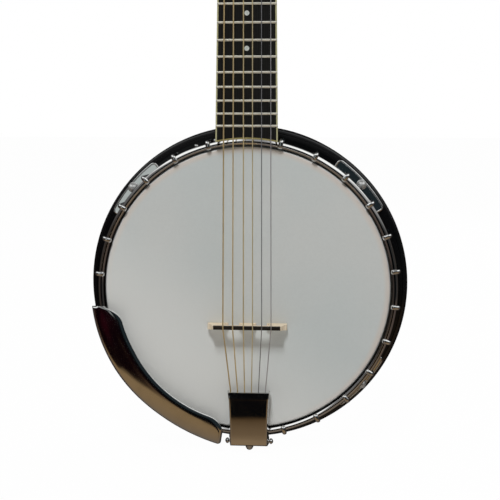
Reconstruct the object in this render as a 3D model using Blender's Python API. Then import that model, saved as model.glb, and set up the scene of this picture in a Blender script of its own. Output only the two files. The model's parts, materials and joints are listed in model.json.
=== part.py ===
"""Six-string resonator banjo (guitar-banjo), an assembly of separate named solids.

Sizes are in millimetres and the scene is in metres.  +Z runs up the neck, the head
faces -Y and +X is the treble side.  The origin is the centre of the flat on the
resonator's back, so the pot's own axis is the Y axis.  Depths in the pot, written d,
run from the front face of the head towards the back: y = HEAD_Y + d.  Angles round
the pot are in degrees from the neck, positive towards the treble side.
"""
import math

import bmesh
import bpy
from mathutils import Matrix, Vector

MM = 0.001
SHARP_ANGLE = math.radians(35.0)
MERGE = 1e-6              # metres, points closer than this are merged after a Boolean

# ---------------------------------------------------------------- shared dimensions
HEAD_Y = -96.0            # front face of the head
POT_SEG = 48              # facets round the pot
GAP = 0.3                 # clearance between neighbouring pieces

RIM_R_IN = 127.5
RIM_R_OUT = 134.6
RIM_CLEAR_R = RIM_R_OUT + 0.35        # just outside the rim

STATIONS = 26             # equal steps round the pot; neck and tail carry no hook
TAIL_STATION = STATIONS // 2
HOOK_STATIONS = [*range(1, TAIL_STATION), *range(1 - TAIL_STATION, 0)]
HOOK_STEP = 360.0 / STATIONS
POT_TURN = -1.0           # the bracket circle sits one degree round from the neck
HOOK_R = 145.0            # circle the hooks stand on
HOOK_ROD_R = 2.0
HOOK_END_D = 43.0
NUT_D = (32.0, 39.0)
NUT_R = 4.3
THUMB_R = 146.6           # circle the thumbscrews stand on
THUMB_HOLE_R = 2.7
# the two hook stations each flange plate spans
PLATES = {"upper_right": (3, 4), "lower_right": (9, 10),
          "upper_left": (-3, -4), "lower_left": (-9, -10)}

ROD_D = 40.0              # depth of the coordinator rod
ROD_HOLE_R = 2.9
ROD_HOLE_SEG = 12

# Neck frame: y = 0 is the fretboard's front, z = 0 its origin near the pot
NECK_TILT = 1.5           # degrees the neck leans back
NECK_Z = 145.0
NECK_D = -7.9
NUT_Z = 486.9
FB_T = 5.0
FB_W = (57.4, 43.4)       # fretboard width at z = 0 and at the nut
NECK_TOP = FB_T + GAP     # front face of the neck wood
NECK_INSET = 0.1          # neck edge inside the fretboard edge

# Peghead frame: y = 0 is the headstock's front face
HEADSTOCK_Z = 495.0
HEADSTOCK_TILT = 12.0
HEADSTOCK_T = 14.0
POST_X = 26.0
POST_Z = (45.0, 85.0, 125.0)
POST_WAIST_R = 2.6
# (side, z) of the post for strings 1 to 6; 1 and 6 are nearest the nut
POSTS = [(1, z) for z in POST_Z] + [(-1, z) for z in reversed(POST_Z)]

BRIDGE_Z = -32.3
TAIL_X = 2.5
PIN_Z = -149.0
PIN_D = 1.0


# ---------------------------------------------------------------- materials
def material(name, colour, roughness, metallic):
    mat = bpy.data.materials.new(name)
    mat.use_nodes = True
    shader = mat.node_tree.nodes["Principled BSDF"]
    shader.inputs["Base Color"].default_value = (*colour, 1.0)
    shader.inputs["Roughness"].default_value = roughness
    shader.inputs["Metallic"].default_value = metallic
    return mat


for old in list(bpy.data.objects):
    bpy.data.objects.remove(old, do_unlink=True)

CHROME = material("chrome", colour=(0.62, 0.62, 0.61), roughness=0.12, metallic=1.0)
BLACK = material("black_gloss", colour=(0.012, 0.012, 0.013), roughness=0.25, metallic=0.0)
HEADSKIN = material("frosted_head", colour=(0.66, 0.68, 0.67), roughness=0.55, metallic=0.0)
ALUMINIUM = material("cast_aluminium", colour=(0.55, 0.55, 0.56), roughness=0.4, metallic=1.0)
NECKWOOD = material("dark_neck", colour=(0.035, 0.02, 0.014), roughness=0.3, metallic=0.0)
EBONY = material("ebony", colour=(0.02, 0.018, 0.017), roughness=0.45, metallic=0.0)
MAPLE = material("maple", colour=(0.72, 0.55, 0.36), roughness=0.5, metallic=0.0)
BONE = material("bone", colour=(0.8, 0.76, 0.64), roughness=0.4, metallic=0.0)
BRONZE = material("bronze_wound", colour=(0.55, 0.38, 0.17), roughness=0.35, metallic=1.0)
STEEL = material("plain_steel", colour=(0.6, 0.6, 0.6), roughness=0.25, metallic=1.0)
PEARLOID = material("tuner_button", colour=(0.75, 0.74, 0.7), roughness=0.35, metallic=0.0)


# ---------------------------------------------------------------- places
def place(x, y, z):
    return Matrix.Translation(Vector((x, y, z)) * MM)


def turn_y(angle):
    return Matrix.Rotation(math.radians(angle), 4, "Y")


def lean_back(angle):
    return Matrix.Rotation(math.radians(-angle), 4, "X")


def on_pot(radius, angle):
    """Frame on the pot's axis depth y = 0, moved out and turned round the pot."""
    return turn_y(angle) @ place(0, 0, radius)


def station(k):
    """Angle of a bracket station."""
    return HOOK_STEP * k + POT_TURN


def at_depth(*depths):
    return [HEAD_Y + d for d in depths]


def span(middle, half):
    return middle - half, middle + half


def polar(radius, angle):
    """(x, z) at a radius and an angle from the neck."""
    a = math.radians(angle)
    return radius * math.sin(a), radius * math.cos(a)


def pot_point(radius, angle, d):
    x, z = polar(radius, angle)
    return x, HEAD_Y + d, z


def arc(radius, start, stop, steps):
    return [polar(radius, start + (stop - start) * i / steps) for i in range(steps + 1)]


def mirrored(half, middle=()):
    """Points (x, other), then any middle points, then the first ones at -x, reversed."""
    return [*half, *middle] + [(-x, other) for x, other in reversed(half)]


NECK = place(0, HEAD_Y + NECK_D, NECK_Z) @ lean_back(NECK_TILT)
PEG = NECK @ place(0, NECK_TOP, HEADSTOCK_Z) @ lean_back(HEADSTOCK_TILT)
ROD_AT = place(0, HEAD_Y + ROD_D, 0)
THUMB_ANGLES = {name: station(sum(pair) / 2) for name, pair in PLATES.items()}


# ---------------------------------------------------------------- solids
def shade(mesh):
    mesh.shade_smooth()
    mesh.set_sharp_from_angle(angle=SHARP_ANGLE)


def make(name, points, faces, mat, matrix=None, smooth=True):
    """A mesh object from millimetre points, faces turned to point outwards."""
    build = bmesh.new()
    verts = [build.verts.new(Vector(point) * MM) for point in points]
    for face in faces:
        build.faces.new([verts[i] for i in face])
    bmesh.ops.recalc_face_normals(build, faces=build.faces)
    if build.calc_volume(signed=True) < 0:
        bmesh.ops.reverse_faces(build, faces=build.faces)
    mesh = bpy.data.meshes.new(name)
    build.to_mesh(mesh)
    build.free()
    mesh.materials.append(mat)
    obj = bpy.data.objects.new(name, mesh)
    bpy.context.scene.collection.objects.link(obj)
    if matrix is not None:
        obj.matrix_world = matrix
    if smooth:
        shade(mesh)
    return obj


def combine(target, others, operation):
    """One exact Boolean per operand, settled into the target's own mesh."""
    for other in others:
        boolean = target.modifiers.new(other.name, "BOOLEAN")
        boolean.operation = operation
        boolean.solver = "EXACT"
        boolean.object = other
        bpy.context.view_layer.update()
        graph = bpy.context.evaluated_depsgraph_get()
        result = bpy.data.meshes.new_from_object(target.evaluated_get(graph))
        target.modifiers.clear()
        target.data = result
        bpy.data.objects.remove(other, do_unlink=True)
    build = bmesh.new()
    build.from_mesh(target.data)
    bmesh.ops.remove_doubles(build, verts=build.verts, dist=MERGE)
    bmesh.ops.dissolve_degenerate(build, dist=MERGE, edges=build.edges)
    build.to_mesh(target.data)
    build.free()
    shade(target.data)
    return target


def turned(name, profile, mat, seg=POT_SEG):
    """Revolve (radius, d) round the pot axis.  A closed section makes a ring;
    a section whose ends sit at radius 0 makes a solid of revolution."""
    points, rows = [], []
    for radius, d in profile:
        first = len(points)
        if radius == 0:
            rows.append([first] * seg)
            points.append((0, HEAD_Y + d, 0))
        else:
            rows.append(list(range(first, first + seg)))
            points += [pot_point(radius, 360.0 * k / seg, d) for k in range(seg)]
    pairs = list(zip(rows, rows[1:]))
    if profile[0][0] != 0:
        pairs.append((rows[-1], rows[0]))
    faces = []
    for row, following in pairs:
        for k in range(seg):
            n = (k + 1) % seg
            # a pole's repeated point drops out and leaves a triangle
            faces.append(tuple(dict.fromkeys((row[k], following[k], following[n], row[n]))))
    return make(name, points, faces, mat)


def ring(name, radii, depths, mat, seg=POT_SEG):
    """A square-cornered ring round the pot axis."""
    (r0, r1), (d0, d1) = radii, depths
    return turned(name, [(r0, d0), (r1, d0), (r1, d1), (r0, d1)], mat, seg)


def loft(name, sections, mat, matrix=None, smooth=True):
    """Skin closed sections that all have the same number of points."""
    count = len(sections[0])
    last = (len(sections) - 1) * count
    faces = []
    for row in range(0, last, count):
        for k in range(count):
            n = (k + 1) % count
            faces.append((row + k, row + n, row + count + n, row + count + k))
    faces.append(tuple(range(count)))
    faces.append(tuple(range(last, last + count)))
    return make(name, [p for section in sections for p in section], faces, mat, matrix, smooth)


def rod(name, stations, mat, matrix, axis="Y", seg=8):
    """Turned piece on its own axis: stations are (place, radius) or
    (place, radius across, radius thick) for an oval stretch."""
    sections = []
    for along, across, *thick in stations:
        section = []
        for k in range(seg):
            a = 2 * math.pi * (k + 0.5) / seg
            u = across * math.cos(a)
            v = (thick[0] if thick else across) * math.sin(a)
            section.append({"X": (along, u, v), "Y": (u, along, v), "Z": (u, v, along)}[axis])
        sections.append(section)
    return loft(name, sections, mat, matrix)


def cylinder(name, radius, ends, mat, matrix, axis="Y", seg=8):
    return rod(name, [(end, radius) for end in ends], mat, matrix, axis, seg)


def box(name, xs, ys, zs, mat, matrix=None):
    (x0, x1), (y0, y1) = xs, ys
    return loft(name, [[(x0, y0, z), (x1, y0, z), (x1, y1, z), (x0, y1, z)] for z in zs],
                mat, matrix, smooth=False)


def prism(name, outline, ys, mat, matrix=None):
    """An (x, z) outline stretched along y."""
    return loft(name, [[(x, y, z) for x, z in outline] for y in ys], mat, matrix)


def tube(name, path, radius, mat, seg, matrix=None):
    """A round bar swept along a list of points."""
    points = [Vector(p) for p in path]
    runs = [(b - a).normalized() for a, b in zip(points, points[1:])]
    tangents = [(before + after).normalized()
                for before, after in zip(runs[:1] + runs, runs + runs[-1:])]
    side = tangents[0].orthogonal().normalized()
    sections = []
    for point, tangent, run in zip(points, tangents, runs + runs[-1:]):
        side = (side - tangent * side.dot(tangent)).normalized()
        up = tangent.cross(side)
        # widened at a bend so that the bar keeps its thickness
        reach = radius / max(0.8, tangent.dot(run))
        angles = [2 * math.pi * (k + 0.5) / seg for k in range(seg)]
        sections.append([point + (side * math.cos(a) + up * math.sin(a)) * reach
                         for a in angles])
    return loft(name, sections, mat, matrix)


# ---------------------------------------------------------------- rim with its flange
RIM_BACK_D = 62.0
FLANGE_R = 149.4
FLANGE_D = (27.7, 31.7)
FLANGE_CUT_D = (26, 33)
HOOK_HOLE_R = 2.5
NOTCH_HALF = 24.5         # gap in the flange for the heel
NOTCH_SWEEP = math.degrees(math.asin(NOTCH_HALF / 150.0)) + 1


def build_rim():
    flange_front, flange_back = FLANGE_D
    rim = turned("rim", [
        (RIM_R_IN, 3.6), (130.6, 1.1), (132.6, 1.1), (134.1, 1.9), (RIM_R_OUT, 3.2),
        (RIM_R_OUT, flange_front), (FLANGE_R, flange_front), (FLANGE_R, flange_back),
        (RIM_R_OUT, flange_back), (RIM_R_OUT, RIM_BACK_D), (RIM_R_IN, RIM_BACK_D)], ALUMINIUM)
    flange_cut = at_depth(*FLANGE_CUT_D)
    cuts = [cylinder("hole", HOOK_HOLE_R, flange_cut, ALUMINIUM, on_pot(HOOK_R, station(k)))
            for k in [*HOOK_STATIONS, TAIL_STATION]]
    cuts += [cylinder("hole", THUMB_HOLE_R, flange_cut, ALUMINIUM, on_pot(THUMB_R, angle))
             for angle in THUMB_ANGLES.values()]
    notch = [(-NOTCH_HALF, 133.2), *arc(RIM_CLEAR_R, -NOTCH_SWEEP, NOTCH_SWEEP, 12),
             (NOTCH_HALF, 133.2), (NOTCH_HALF, 156), (-NOTCH_HALF, 156)]
    cuts.append(prism("notch", notch, at_depth(27.0, 32.4), ALUMINIUM))
    cuts.append(cylinder("rod_hole", ROD_HOLE_R, (-140, 140), ALUMINIUM, ROD_AT,
                         axis="Z", seg=ROD_HOLE_SEG))
    combine(rim, cuts, "DIFFERENCE")


# ---------------------------------------------------------------- head and hoop
HEAD_T = 0.8
SKIRT_R = 135.7           # outside of the skirt that folds down over the rim
FLESH_R = 140.0           # ring at the skirt's edge
FLESH_D = (9.3, 13.3)
HOOP_R = (137.3, 142.7)
HOOP_TOP_D = -1.6
HOOP_BOTTOM_D = 9.0


def build_head():
    flesh_front, flesh_back = FLESH_D
    turned("head", [
        (0, 0), (132.3, 0), (134.8, 0.7), (SKIRT_R, 3.0), (SKIRT_R, flesh_front),
        (FLESH_R, flesh_front), (FLESH_R, flesh_back), (RIM_CLEAR_R, flesh_back),
        (RIM_CLEAR_R, 3.2), (134.4, 1.65), (132.75, HEAD_T), (0, HEAD_T)], HEADSKIN)


def build_hoop():
    inner, outer = HOOP_R
    turned("tension_hoop", [
        (inner, -0.6), (138.0, HOOP_TOP_D), (139.2, HOOP_TOP_D), (140.4, 0.4), (141.4, -0.5),
        (142.2, -0.5), (outer, 0.5), (outer, HOOP_BOTTOM_D), (inner, HOOP_BOTTOM_D)], CHROME)


# ---------------------------------------------------------------- resonator
RES_R = 154.9
RES_LIP_D = 27.8
RES_FLAT_R = 60.0
RES_BACK_D = -HEAD_Y
RES_FLOOR_D = 91.3        # inner face of the back
HEEL_GAP_HALF = 24.0
HEEL_GAP_D = (26, 50.5)


def build_resonator():
    resonator = turned("resonator", [
        # outside, from the back to the lip
        (0, RES_BACK_D), (RES_FLAT_R, RES_BACK_D), (102, 91.6), (142, 83.0), (150.6, 76.5),
        (153.9, 65), (RES_R, 40), (RES_R, 31.0), (153.2, RES_LIP_D), (151.0, RES_LIP_D),
        # inside, from the lip to the back
        (150.3, 29.0), (149.2, 64), (146.4, 73.5), (139.5, 78.9), (101, 87.0),
        (RES_FLAT_R, RES_FLOOR_D), (0, RES_FLOOR_D)], BLACK)
    for angle in THUMB_ANGLES.values():
        lug = box("lug", (-8, 8), at_depth(33.5, 58), (141.4, 150.4), BLACK, turn_y(angle))
        combine(resonator, [lug], "UNION")
    cuts = [cylinder("hole", THUMB_HOLE_R, at_depth(33, 54), BLACK, on_pot(THUMB_R, angle))
            for angle in THUMB_ANGLES.values()]
    cuts.append(box("heel_gap", span(0, HEEL_GAP_HALF), at_depth(*HEEL_GAP_D), (140, 160),
                    BLACK))
    combine(resonator, cuts, "DIFFERENCE")


# ---------------------------------------------------------------- bracket hooks and plates
# (radius, d) along a hook, from its tip over the hoop to its back end
HOOK_PATH = ((138.3, -3.9), (143.2, -3.9), (HOOK_R, -2.2), (HOOK_R, HOOK_END_D))
PLATE_R = (139.5, 151.6)
PLATE_D = (25.8, 27.3)
PLATE_HALF = 12.4         # degrees either side of its middle
PLATE_CORNER = 1.6        # degrees taken up by each rounded outer corner
# (d, radius) along a thumbscrew: ball, collar, shank
THUMB_STATIONS = (
    (15.6, 1.6), (17.0, 3.7), (19.4, 4.4), (21.6, 3.8), (22.6, 2.9),
    (22.9, 5.0), (25.4, 5.0),
    (25.5, 2.1), (52.5, 2.1))


def build_hook(name, k):
    """J-shaped hook over the hoop, through the flange, with its hexagon nut."""
    path = [(0, HEAD_Y + d, radius) for radius, d in HOOK_PATH]
    body = tube(name, path, HOOK_ROD_R, CHROME, seg=6, matrix=turn_y(station(k)))
    nut = cylinder("nut", NUT_R, at_depth(*NUT_D), CHROME, on_pot(HOOK_R, station(k)), seg=6)
    return combine(body, [nut], "UNION")


def build_free_hooks():
    """The hooks that hold no flange plate."""
    clamping = {k for pair in PLATES.values() for k in pair}
    free = [k for k in HOOK_STATIONS if k not in clamping]
    for number, k in enumerate(free, start=1):
        build_hook("bracket_hook_%02d" % number, k)


def build_flange_plates():
    """Each plate is one solid with the two hooks that clamp it."""
    inner, outer = PLATE_R
    arc_half = PLATE_HALF - PLATE_CORNER
    round_half = PLATE_HALF - PLATE_CORNER * 0.3
    outline = [
        *arc(outer, -arc_half, arc_half, 6),
        polar(outer - 1.1, round_half), polar(outer - 3.8, PLATE_HALF),
        *arc(inner, PLATE_HALF, -PLATE_HALF, 5),
        polar(outer - 3.8, -PLATE_HALF), polar(outer - 1.1, -round_half)]
    for name, pair in PLATES.items():
        angle = THUMB_ANGLES[name]
        plate = prism("flange_plate_" + name, outline, at_depth(*PLATE_D), CHROME,
                      turn_y(angle))
        hole = cylinder("hole", THUMB_HOLE_R, at_depth(25, 28), CHROME, on_pot(THUMB_R, angle))
        combine(plate, [hole], "DIFFERENCE")
        combine(plate, [build_hook("clamp", k) for k in pair], "UNION")


def build_thumbscrews():
    for name, angle in THUMB_ANGLES.items():
        rod("thumbscrew_" + name, THUMB_STATIONS, CHROME,
            place(*pot_point(THUMB_R, angle, 0)), seg=10)


# ---------------------------------------------------------------- neck and headstock
# (z, y of the back of the neck), from the heel to the headstock
NECK_BACK = (
    (-14, 56.0), (6, 56.0), (12, 53.5), (19, 45.5), (27, 34.5), (37, 26.5), (52, 22.6),
    (80, 21.2), (160, 20.6), (320, 19.2), (440, 18.2), (486, 17.8), (497, 17.6))
# (x, z) of the treble side of the headstock, from the nut end to the far end
HEADSTOCK_SIDE = (
    (21.6, 0.0), (22.0, 10), (24.5, 20), (32.0, 28), (36.5, 38), (38.0, 90), (40.5, 140),
    (41.0, 158), (36.0, 170), (24.0, 174), (12.0, 171))
HEADSTOCK_TIP = (0, 176)
# (x, z) of the treble side of the truss rod cover
TRUSS_COVER_SIDE = ((9.0, 7), (8.0, 16), (5.0, 26), (2.4, 33))
POST_HOLE_R = 3.9


def board_half_width(z):
    return FB_W[0] / 2 + (FB_W[1] - FB_W[0]) / 2 * z / NUT_Z


def neck_section(z, y_back):
    """Half-round section; its width power falls from the heel to the neck."""
    half = board_half_width(min(z, NUT_Z)) - NECK_INSET
    power = 1.12 - 0.26 * min(1.0, max(0.0, (z - 10) / 50.0))
    section = []
    for k in range(11):
        cosine = math.cos(math.pi * k / 10)
        sine = math.sin(math.pi * k / 10)
        x = -half * math.copysign(abs(cosine) ** power, cosine)
        section.append((x, NECK_TOP + (y_back - NECK_TOP) * sine ** 0.9, z))
    return section


def build_neck():
    neck = loft("neck", [neck_section(z, y_back) for z, y_back in NECK_BACK], NECKWOOD, NECK)
    headstock = prism("headstock", mirrored(HEADSTOCK_SIDE, [HEADSTOCK_TIP]),
                      (0, HEADSTOCK_T), NECKWOOD, PEG)
    combine(neck, [headstock], "UNION")
    cuts = [ring("pot_front", (120, 143.2), (-30, 14.5), NECKWOOD),
            ring("pot_back", (120, 135.4), (12, 60), NECKWOOD),
            box("truss_channel", (-3.0, 3.0), (4.0, 12.0), (6, 480), NECKWOOD, NECK),
            cylinder("rod_hole", ROD_HOLE_R, (120, 152), NECKWOOD, ROD_AT,
                     axis="Z", seg=ROD_HOLE_SEG)]
    cuts += [cylinder("post_hole", POST_HOLE_R, (-3, HEADSTOCK_T + 3), NECKWOOD,
                      PEG @ place(s * POST_X, 0, z))
             for s in (1, -1) for z in POST_Z]
    combine(neck, cuts, "DIFFERENCE")


def build_truss_rod():
    cylinder("truss_rod", 2.4, (9, 477), STEEL, NECK @ place(0, 8.6, 0), axis="Z")
    prism("truss_rod_cover", mirrored(TRUSS_COVER_SIDE), (-1.8, -GAP), BLACK, PEG)


# ---------------------------------------------------------------- fretboard and nut
SCALE = 664.0
FRETS = 22
FRET_H = 1.0
FRET_HALF = (1.1, 0.6)    # half width at the foot and at the crown
FB_START_Z = -9.0
FB_END_R = 142.4          # the pot end is trimmed to this radius


def build_fretboard():
    """Board and frets in one (z, y) profile, skinned from side to side."""
    foot, crown = FRET_HALF
    profile = [(FB_START_Z, 0.0)]
    for n in range(FRETS, 0, -1):
        z = NUT_Z - (SCALE - SCALE / 2 ** (n / 12))
        profile += [(z - foot, 0.0), (z - crown, -FRET_H), (z + crown, -FRET_H), (z + foot, 0.0)]
    profile += [(NUT_Z - GAP, 0.0), (NUT_Z - GAP, FB_T), (FB_START_Z, FB_T)]
    board = loft("fretboard", [[(s * board_half_width(z), y, z) for z, y in profile]
                               for s in (-1, 1)], EBONY, NECK, smooth=False)
    edge = ring("pot_edge", (120, FB_END_R), (-40, 20), EBONY, seg=3 * POT_SEG)
    combine(board, [edge], "DIFFERENCE")


def build_string_nut():
    half = FB_W[1] / 2 - NECK_INSET
    # (y, z past the end of the scale)
    profile = ((FB_T, 0), (-0.6, 0), (-1.0, 1.0), (-0.6, 4.6), (FB_T, 5.0))
    loft("string_nut", [[(x, y, NUT_Z + z) for y, z in profile] for x in (-half, half)],
         BONE, NECK, smooth=False)


# ---------------------------------------------------------------- tuners, three on a plate
TUNER_PLATE_HALF = 7.5
TUNER_PLATE_Z = (27, 139)
EAR_T = 2.0
EAR_HALF = 3.4
SHAFT_Y = HEADSTOCK_T + 4.4
SHAFT_DROP = 9.0          # button shaft below its post
POST_STATIONS = (         # (y, radius)
    (-13.0, 3.6), (-8.6, 3.6), (-8.0, POST_WAIST_R), (-4.0, POST_WAIST_R), (-3.4, 3.5),
    (HEADSTOCK_T + 0.1, 3.5), (HEADSTOCK_T + 0.1, 2.8), (HEADSTOCK_T + 2.2, 2.8),
    (HEADSTOCK_T + 2.2, 6.0), (HEADSTOCK_T + 6.6, 6.0))
BUTTON_STATIONS = (       # (x, radius across, radius thick where oval)
    (-8.2, 1.7), (-5.2, 1.7), (-5.2, 2.4), (5.2, 2.4), (5.2, 1.7), (20.0, 1.7),
    (22.5, 4.6, 2.9), (26.5, 8.0, 3.6), (31.5, 8.3, 3.5), (35.4, 4.4, 1.8))


def build_tuner_plate(word, x):
    left, right = span(x, TUNER_PLATE_HALF)
    plate = box("tuner_plate_" + word, (left, right), (HEADSTOCK_T + GAP, HEADSTOCK_T + 1.8),
                TUNER_PLATE_Z, CHROME, PEG)
    ears = [box("ear", (edge, edge + EAR_T), (HEADSTOCK_T + 1.0, HEADSTOCK_T + 7.6),
                span(z - SHAFT_DROP, EAR_HALF), CHROME, PEG)
            for z in POST_Z for edge in (left, right - EAR_T)]
    combine(plate, ears, "UNION")
    holes = []
    for z in POST_Z:
        holes.append(cylinder("hole", 3.3, (HEADSTOCK_T - 1, HEADSTOCK_T + 3), CHROME,
                              PEG @ place(x, 0, z)))
        holes.append(cylinder("hole", 2.1, (-12, 12), CHROME,
                              PEG @ place(x, SHAFT_Y, z - SHAFT_DROP), axis="X"))
    combine(plate, holes, "DIFFERENCE")


def build_tuners():
    build_tuner_plate("bass", -POST_X)
    build_tuner_plate("treble", POST_X)
    for number, (side, z) in enumerate(POSTS, start=1):
        x = side * POST_X
        rod("tuner_post_%d" % number, POST_STATIONS, STEEL, PEG @ place(x, 0, z), seg=10)
        outward = turn_y(0 if side > 0 else 180)
        rod("tuner_button_%d" % number, BUTTON_STATIONS, PEARLOID,
            PEG @ place(x, SHAFT_Y, z - SHAFT_DROP) @ outward, axis="X")


# ---------------------------------------------------------------- coordinator rod
ROD_STATIONS = (          # (z, radius), from the tail to the neck
    (-140.5, 2.5), (-127.2, 2.5), (-127.0, 7.0), (-123.0, 7.0), (-123.0, 4.6),
    (123.0, 4.6), (123.0, 7.0), (127.0, 7.0), (127.2, 2.5), (149.0, 2.5))


def build_coordinator_rod():
    core = rod("coordinator_rod", ROD_STATIONS, STEEL, ROD_AT, axis="Z")
    nut = cylinder("tail_nut", 4.6, (-139.2, -135.0), STEEL, ROD_AT, axis="Z", seg=6)
    combine(core, [nut], "UNION")


# ---------------------------------------------------------------- armrest
# Angles here run from the neck round the bass side
ARM_START, ARM_END = 96.2, 170.2
ARM_STEPS = 22
ARM_LEG_ANGLES = (118.5, 146.0)
ARM_LEG_HALF = 4
# (radius, d) round a leg's section
ARM_LEG = ((143.2, -9.6), (145.4, -9.6), (145.4, 11.6), (140.5, 11.6), (140.5, 9.8),
           (143.2, 9.8))


def end_curve(beyond, sweep, reach):
    """How far the inner edge has swung outwards, some degrees into an end."""
    share = max(0.0, beyond) / sweep
    return reach * (1 - math.sqrt(1 - share * share))


def arm_inner(angle):
    return (122.1 + max(0.0, angle - 118.0) * 0.1
            + end_curve(104.7 - angle, sweep=8.6, reach=25.0)
            + end_curve(angle - 161.8, sweep=8.7, reach=26.0))


def arm_outer(angle):
    return 148.3 + max(0.0, (angle - 138.0) / 32.0) ** 2 * 5.0


def arm_section(angle):
    """Thin shell section: the front surface outwards, then the back one inwards."""
    inner, outer = arm_inner(angle), arm_outer(angle)
    width = outer - inner
    rise = min(1.0, width / 20.0)
    edge_d, edge_wall = (-6.6, 0.6) if width < 8 else (-5.6, 0.9)
    near_inner = inner + 0.04 * width
    crest = inner + 0.3 * width
    near_outer = inner + 0.86 * width
    section = [
        (inner, edge_d), (near_inner, -7.4 - 0.4 * rise), (crest, -8.0 - 1.9 * rise),
        (near_outer, -8.1 - 0.7 * rise), (outer - 0.5, -7.2), (outer, -4.4),
        (outer - 0.9, -4.4), (outer - 1.3, -6.6), (near_outer, -6.9 - 0.7 * rise),
        (crest, -6.8 - 1.9 * rise), (near_inner + 0.8, -6.3 - 0.4 * rise),
        (inner + edge_wall, edge_d)]
    return [pot_point(radius, -angle, d) for radius, d in section]


def build_armrest():
    sections = []
    for i in range(ARM_STEPS + 1):
        share = i / ARM_STEPS
        eased = 0.5 - 0.5 * math.cos(math.pi * share)
        # stations crowd towards the curved ends
        sections.append(arm_section(
            ARM_START + (ARM_END - ARM_START) * (0.45 * share + 0.55 * eased)))
    arm = loft("armrest", sections, CHROME)
    legs = [loft("leg", [[(x, HEAD_Y + d, radius) for radius, d in ARM_LEG]
                         for x in span(0, ARM_LEG_HALF)], CHROME, turn_y(-angle), smooth=False)
            for angle in ARM_LEG_ANGLES]
    combine(arm, legs, "UNION")


# ---------------------------------------------------------------- tailpiece
TAIL_END_Z = -146.4
STUD_Z = -145.1
SCREW_D = 6.2
SCREW_Z = -149.0
PIN_HOLE_R = 2.0
COVER_WALL = 1.2
# z, half width at the front, half width at the back, front y, back y; from the pin
COVER_STATIONS = (
    (52.2, 19.2, 19.8, -12.3, -9.8), (50.9, 19.1, 19.7, -13.0, -5.0),
    (45.5, 18.7, 19.4, -14.6, -4.1), (24.0, 17.6, 18.9, -13.4, -4.1),
    (6.0, 16.8, 18.5, -11.0, -4.1), (3.4, 16.7, 18.4, -10.1, 2.8),
    (-0.5, 16.4, 18.3, -8.9, 2.8), (-3.0, 16.2, 18.2, -6.6, 2.2))
# (x, radius) of the pin's bass half
PIN_HALF = ((-23.2, 0.9), (-22.6, 2.1), (-21.2, 2.9), (-19.8, 2.6), (-19.0, 1.5))
SCREW_STATIONS = (        # (z, radius)
    (-10.8, 0.9), (-10.2, 2.2), (-8.4, 3.5), (-6.2, 4.1), (-6.0, 4.4), (-2.3, 4.4),
    (-2.3, 2.0), (5.6, 2.0))
COVER_AT = place(TAIL_X, HEAD_Y + PIN_D, PIN_Z)


def build_tailpiece_base():
    base = box("tailpiece_base", span(TAIL_X, 14), at_depth(-5.6, -4.0), (TAIL_END_Z, -101),
               CHROME)
    stud_at = place(TAIL_X, 0, STUD_Z)
    parts = [box("leg", span(TAIL_X, 7), at_depth(-5.0, 27.4), (TAIL_END_Z, -144.4), CHROME),
             cylinder("stud", HOOK_ROD_R, at_depth(24, HOOK_END_D), CHROME, stud_at, seg=10),
             cylinder("stud_nut", NUT_R, at_depth(*NUT_D), CHROME, stud_at, seg=6),
             box("comb", span(TAIL_X, 13), at_depth(-7.4, -5.2), (-103.6, -102.2), CHROME)]
    parts += [box("ear", span(x, 0.8), at_depth(-4.6, 3.6), (-151.2, -144.8), CHROME)
              for x in span(TAIL_X, 13.2)]
    combine(base, parts, "UNION")
    combine(base, [
        cylinder("pin_hole", PIN_HOLE_R, span(TAIL_X, 20), CHROME,
                 place(0, HEAD_Y + PIN_D, PIN_Z), axis="X"),
        cylinder("screw_hole", 2.5, (-149, -142), CHROME,
                 place(TAIL_X, HEAD_Y + SCREW_D, 0), axis="Z")], "DIFFERENCE")


def build_tailpiece_cover():
    """A folded channel, open at the back, local to its hinge pin."""
    sections = []
    for z, front_half, back_half, front, back in COVER_STATIONS:
        inside_front, inside_back = front_half - COVER_WALL, back_half - COVER_WALL
        floor = front + COVER_WALL
        sections.append([
            (-back_half, back, z), (-front_half, front, z),
            (front_half, front, z), (back_half, back, z),
            (inside_back, back, z), (inside_front, floor, z),
            (-inside_front, floor, z), (-inside_back, back, z)])
    cover = loft("tailpiece_cover", sections, CHROME, COVER_AT)
    hole = cylinder("pin_hole", PIN_HOLE_R, (-22, 22), CHROME, COVER_AT, axis="X")
    combine(cover, [hole], "DIFFERENCE")


def build_tailpiece_fittings():
    rod("tailpiece_pin", mirrored(PIN_HALF), CHROME, COVER_AT, axis="X")
    rod("tailpiece_screw", SCREW_STATIONS, CHROME,
        place(TAIL_X, HEAD_Y + SCREW_D, SCREW_Z), axis="Z")


# ---------------------------------------------------------------- bridge
BRIDGE_X = 0.7
BRIDGE_H = 15.3
BRIDGE_HALF = 37.7
# x of the foot edges either side of the two arches, from the bridge's middle
ARCHES = ((-18.3, -8.0), (8.3, 18.4))


def bridge_arch(left, right):
    """(x, h) of an arch between two foot edges, springing 6.6 mm up."""
    middle, half = (left + right) / 2, (right - left) / 2
    points = [(left, GAP)]
    for i in range(7):
        a = math.pi * (1 - i / 6)
        points.append((middle + half * math.cos(a), 6.6 + 5.0 * math.sin(a)))
    return points + [(right, GAP)]


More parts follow.
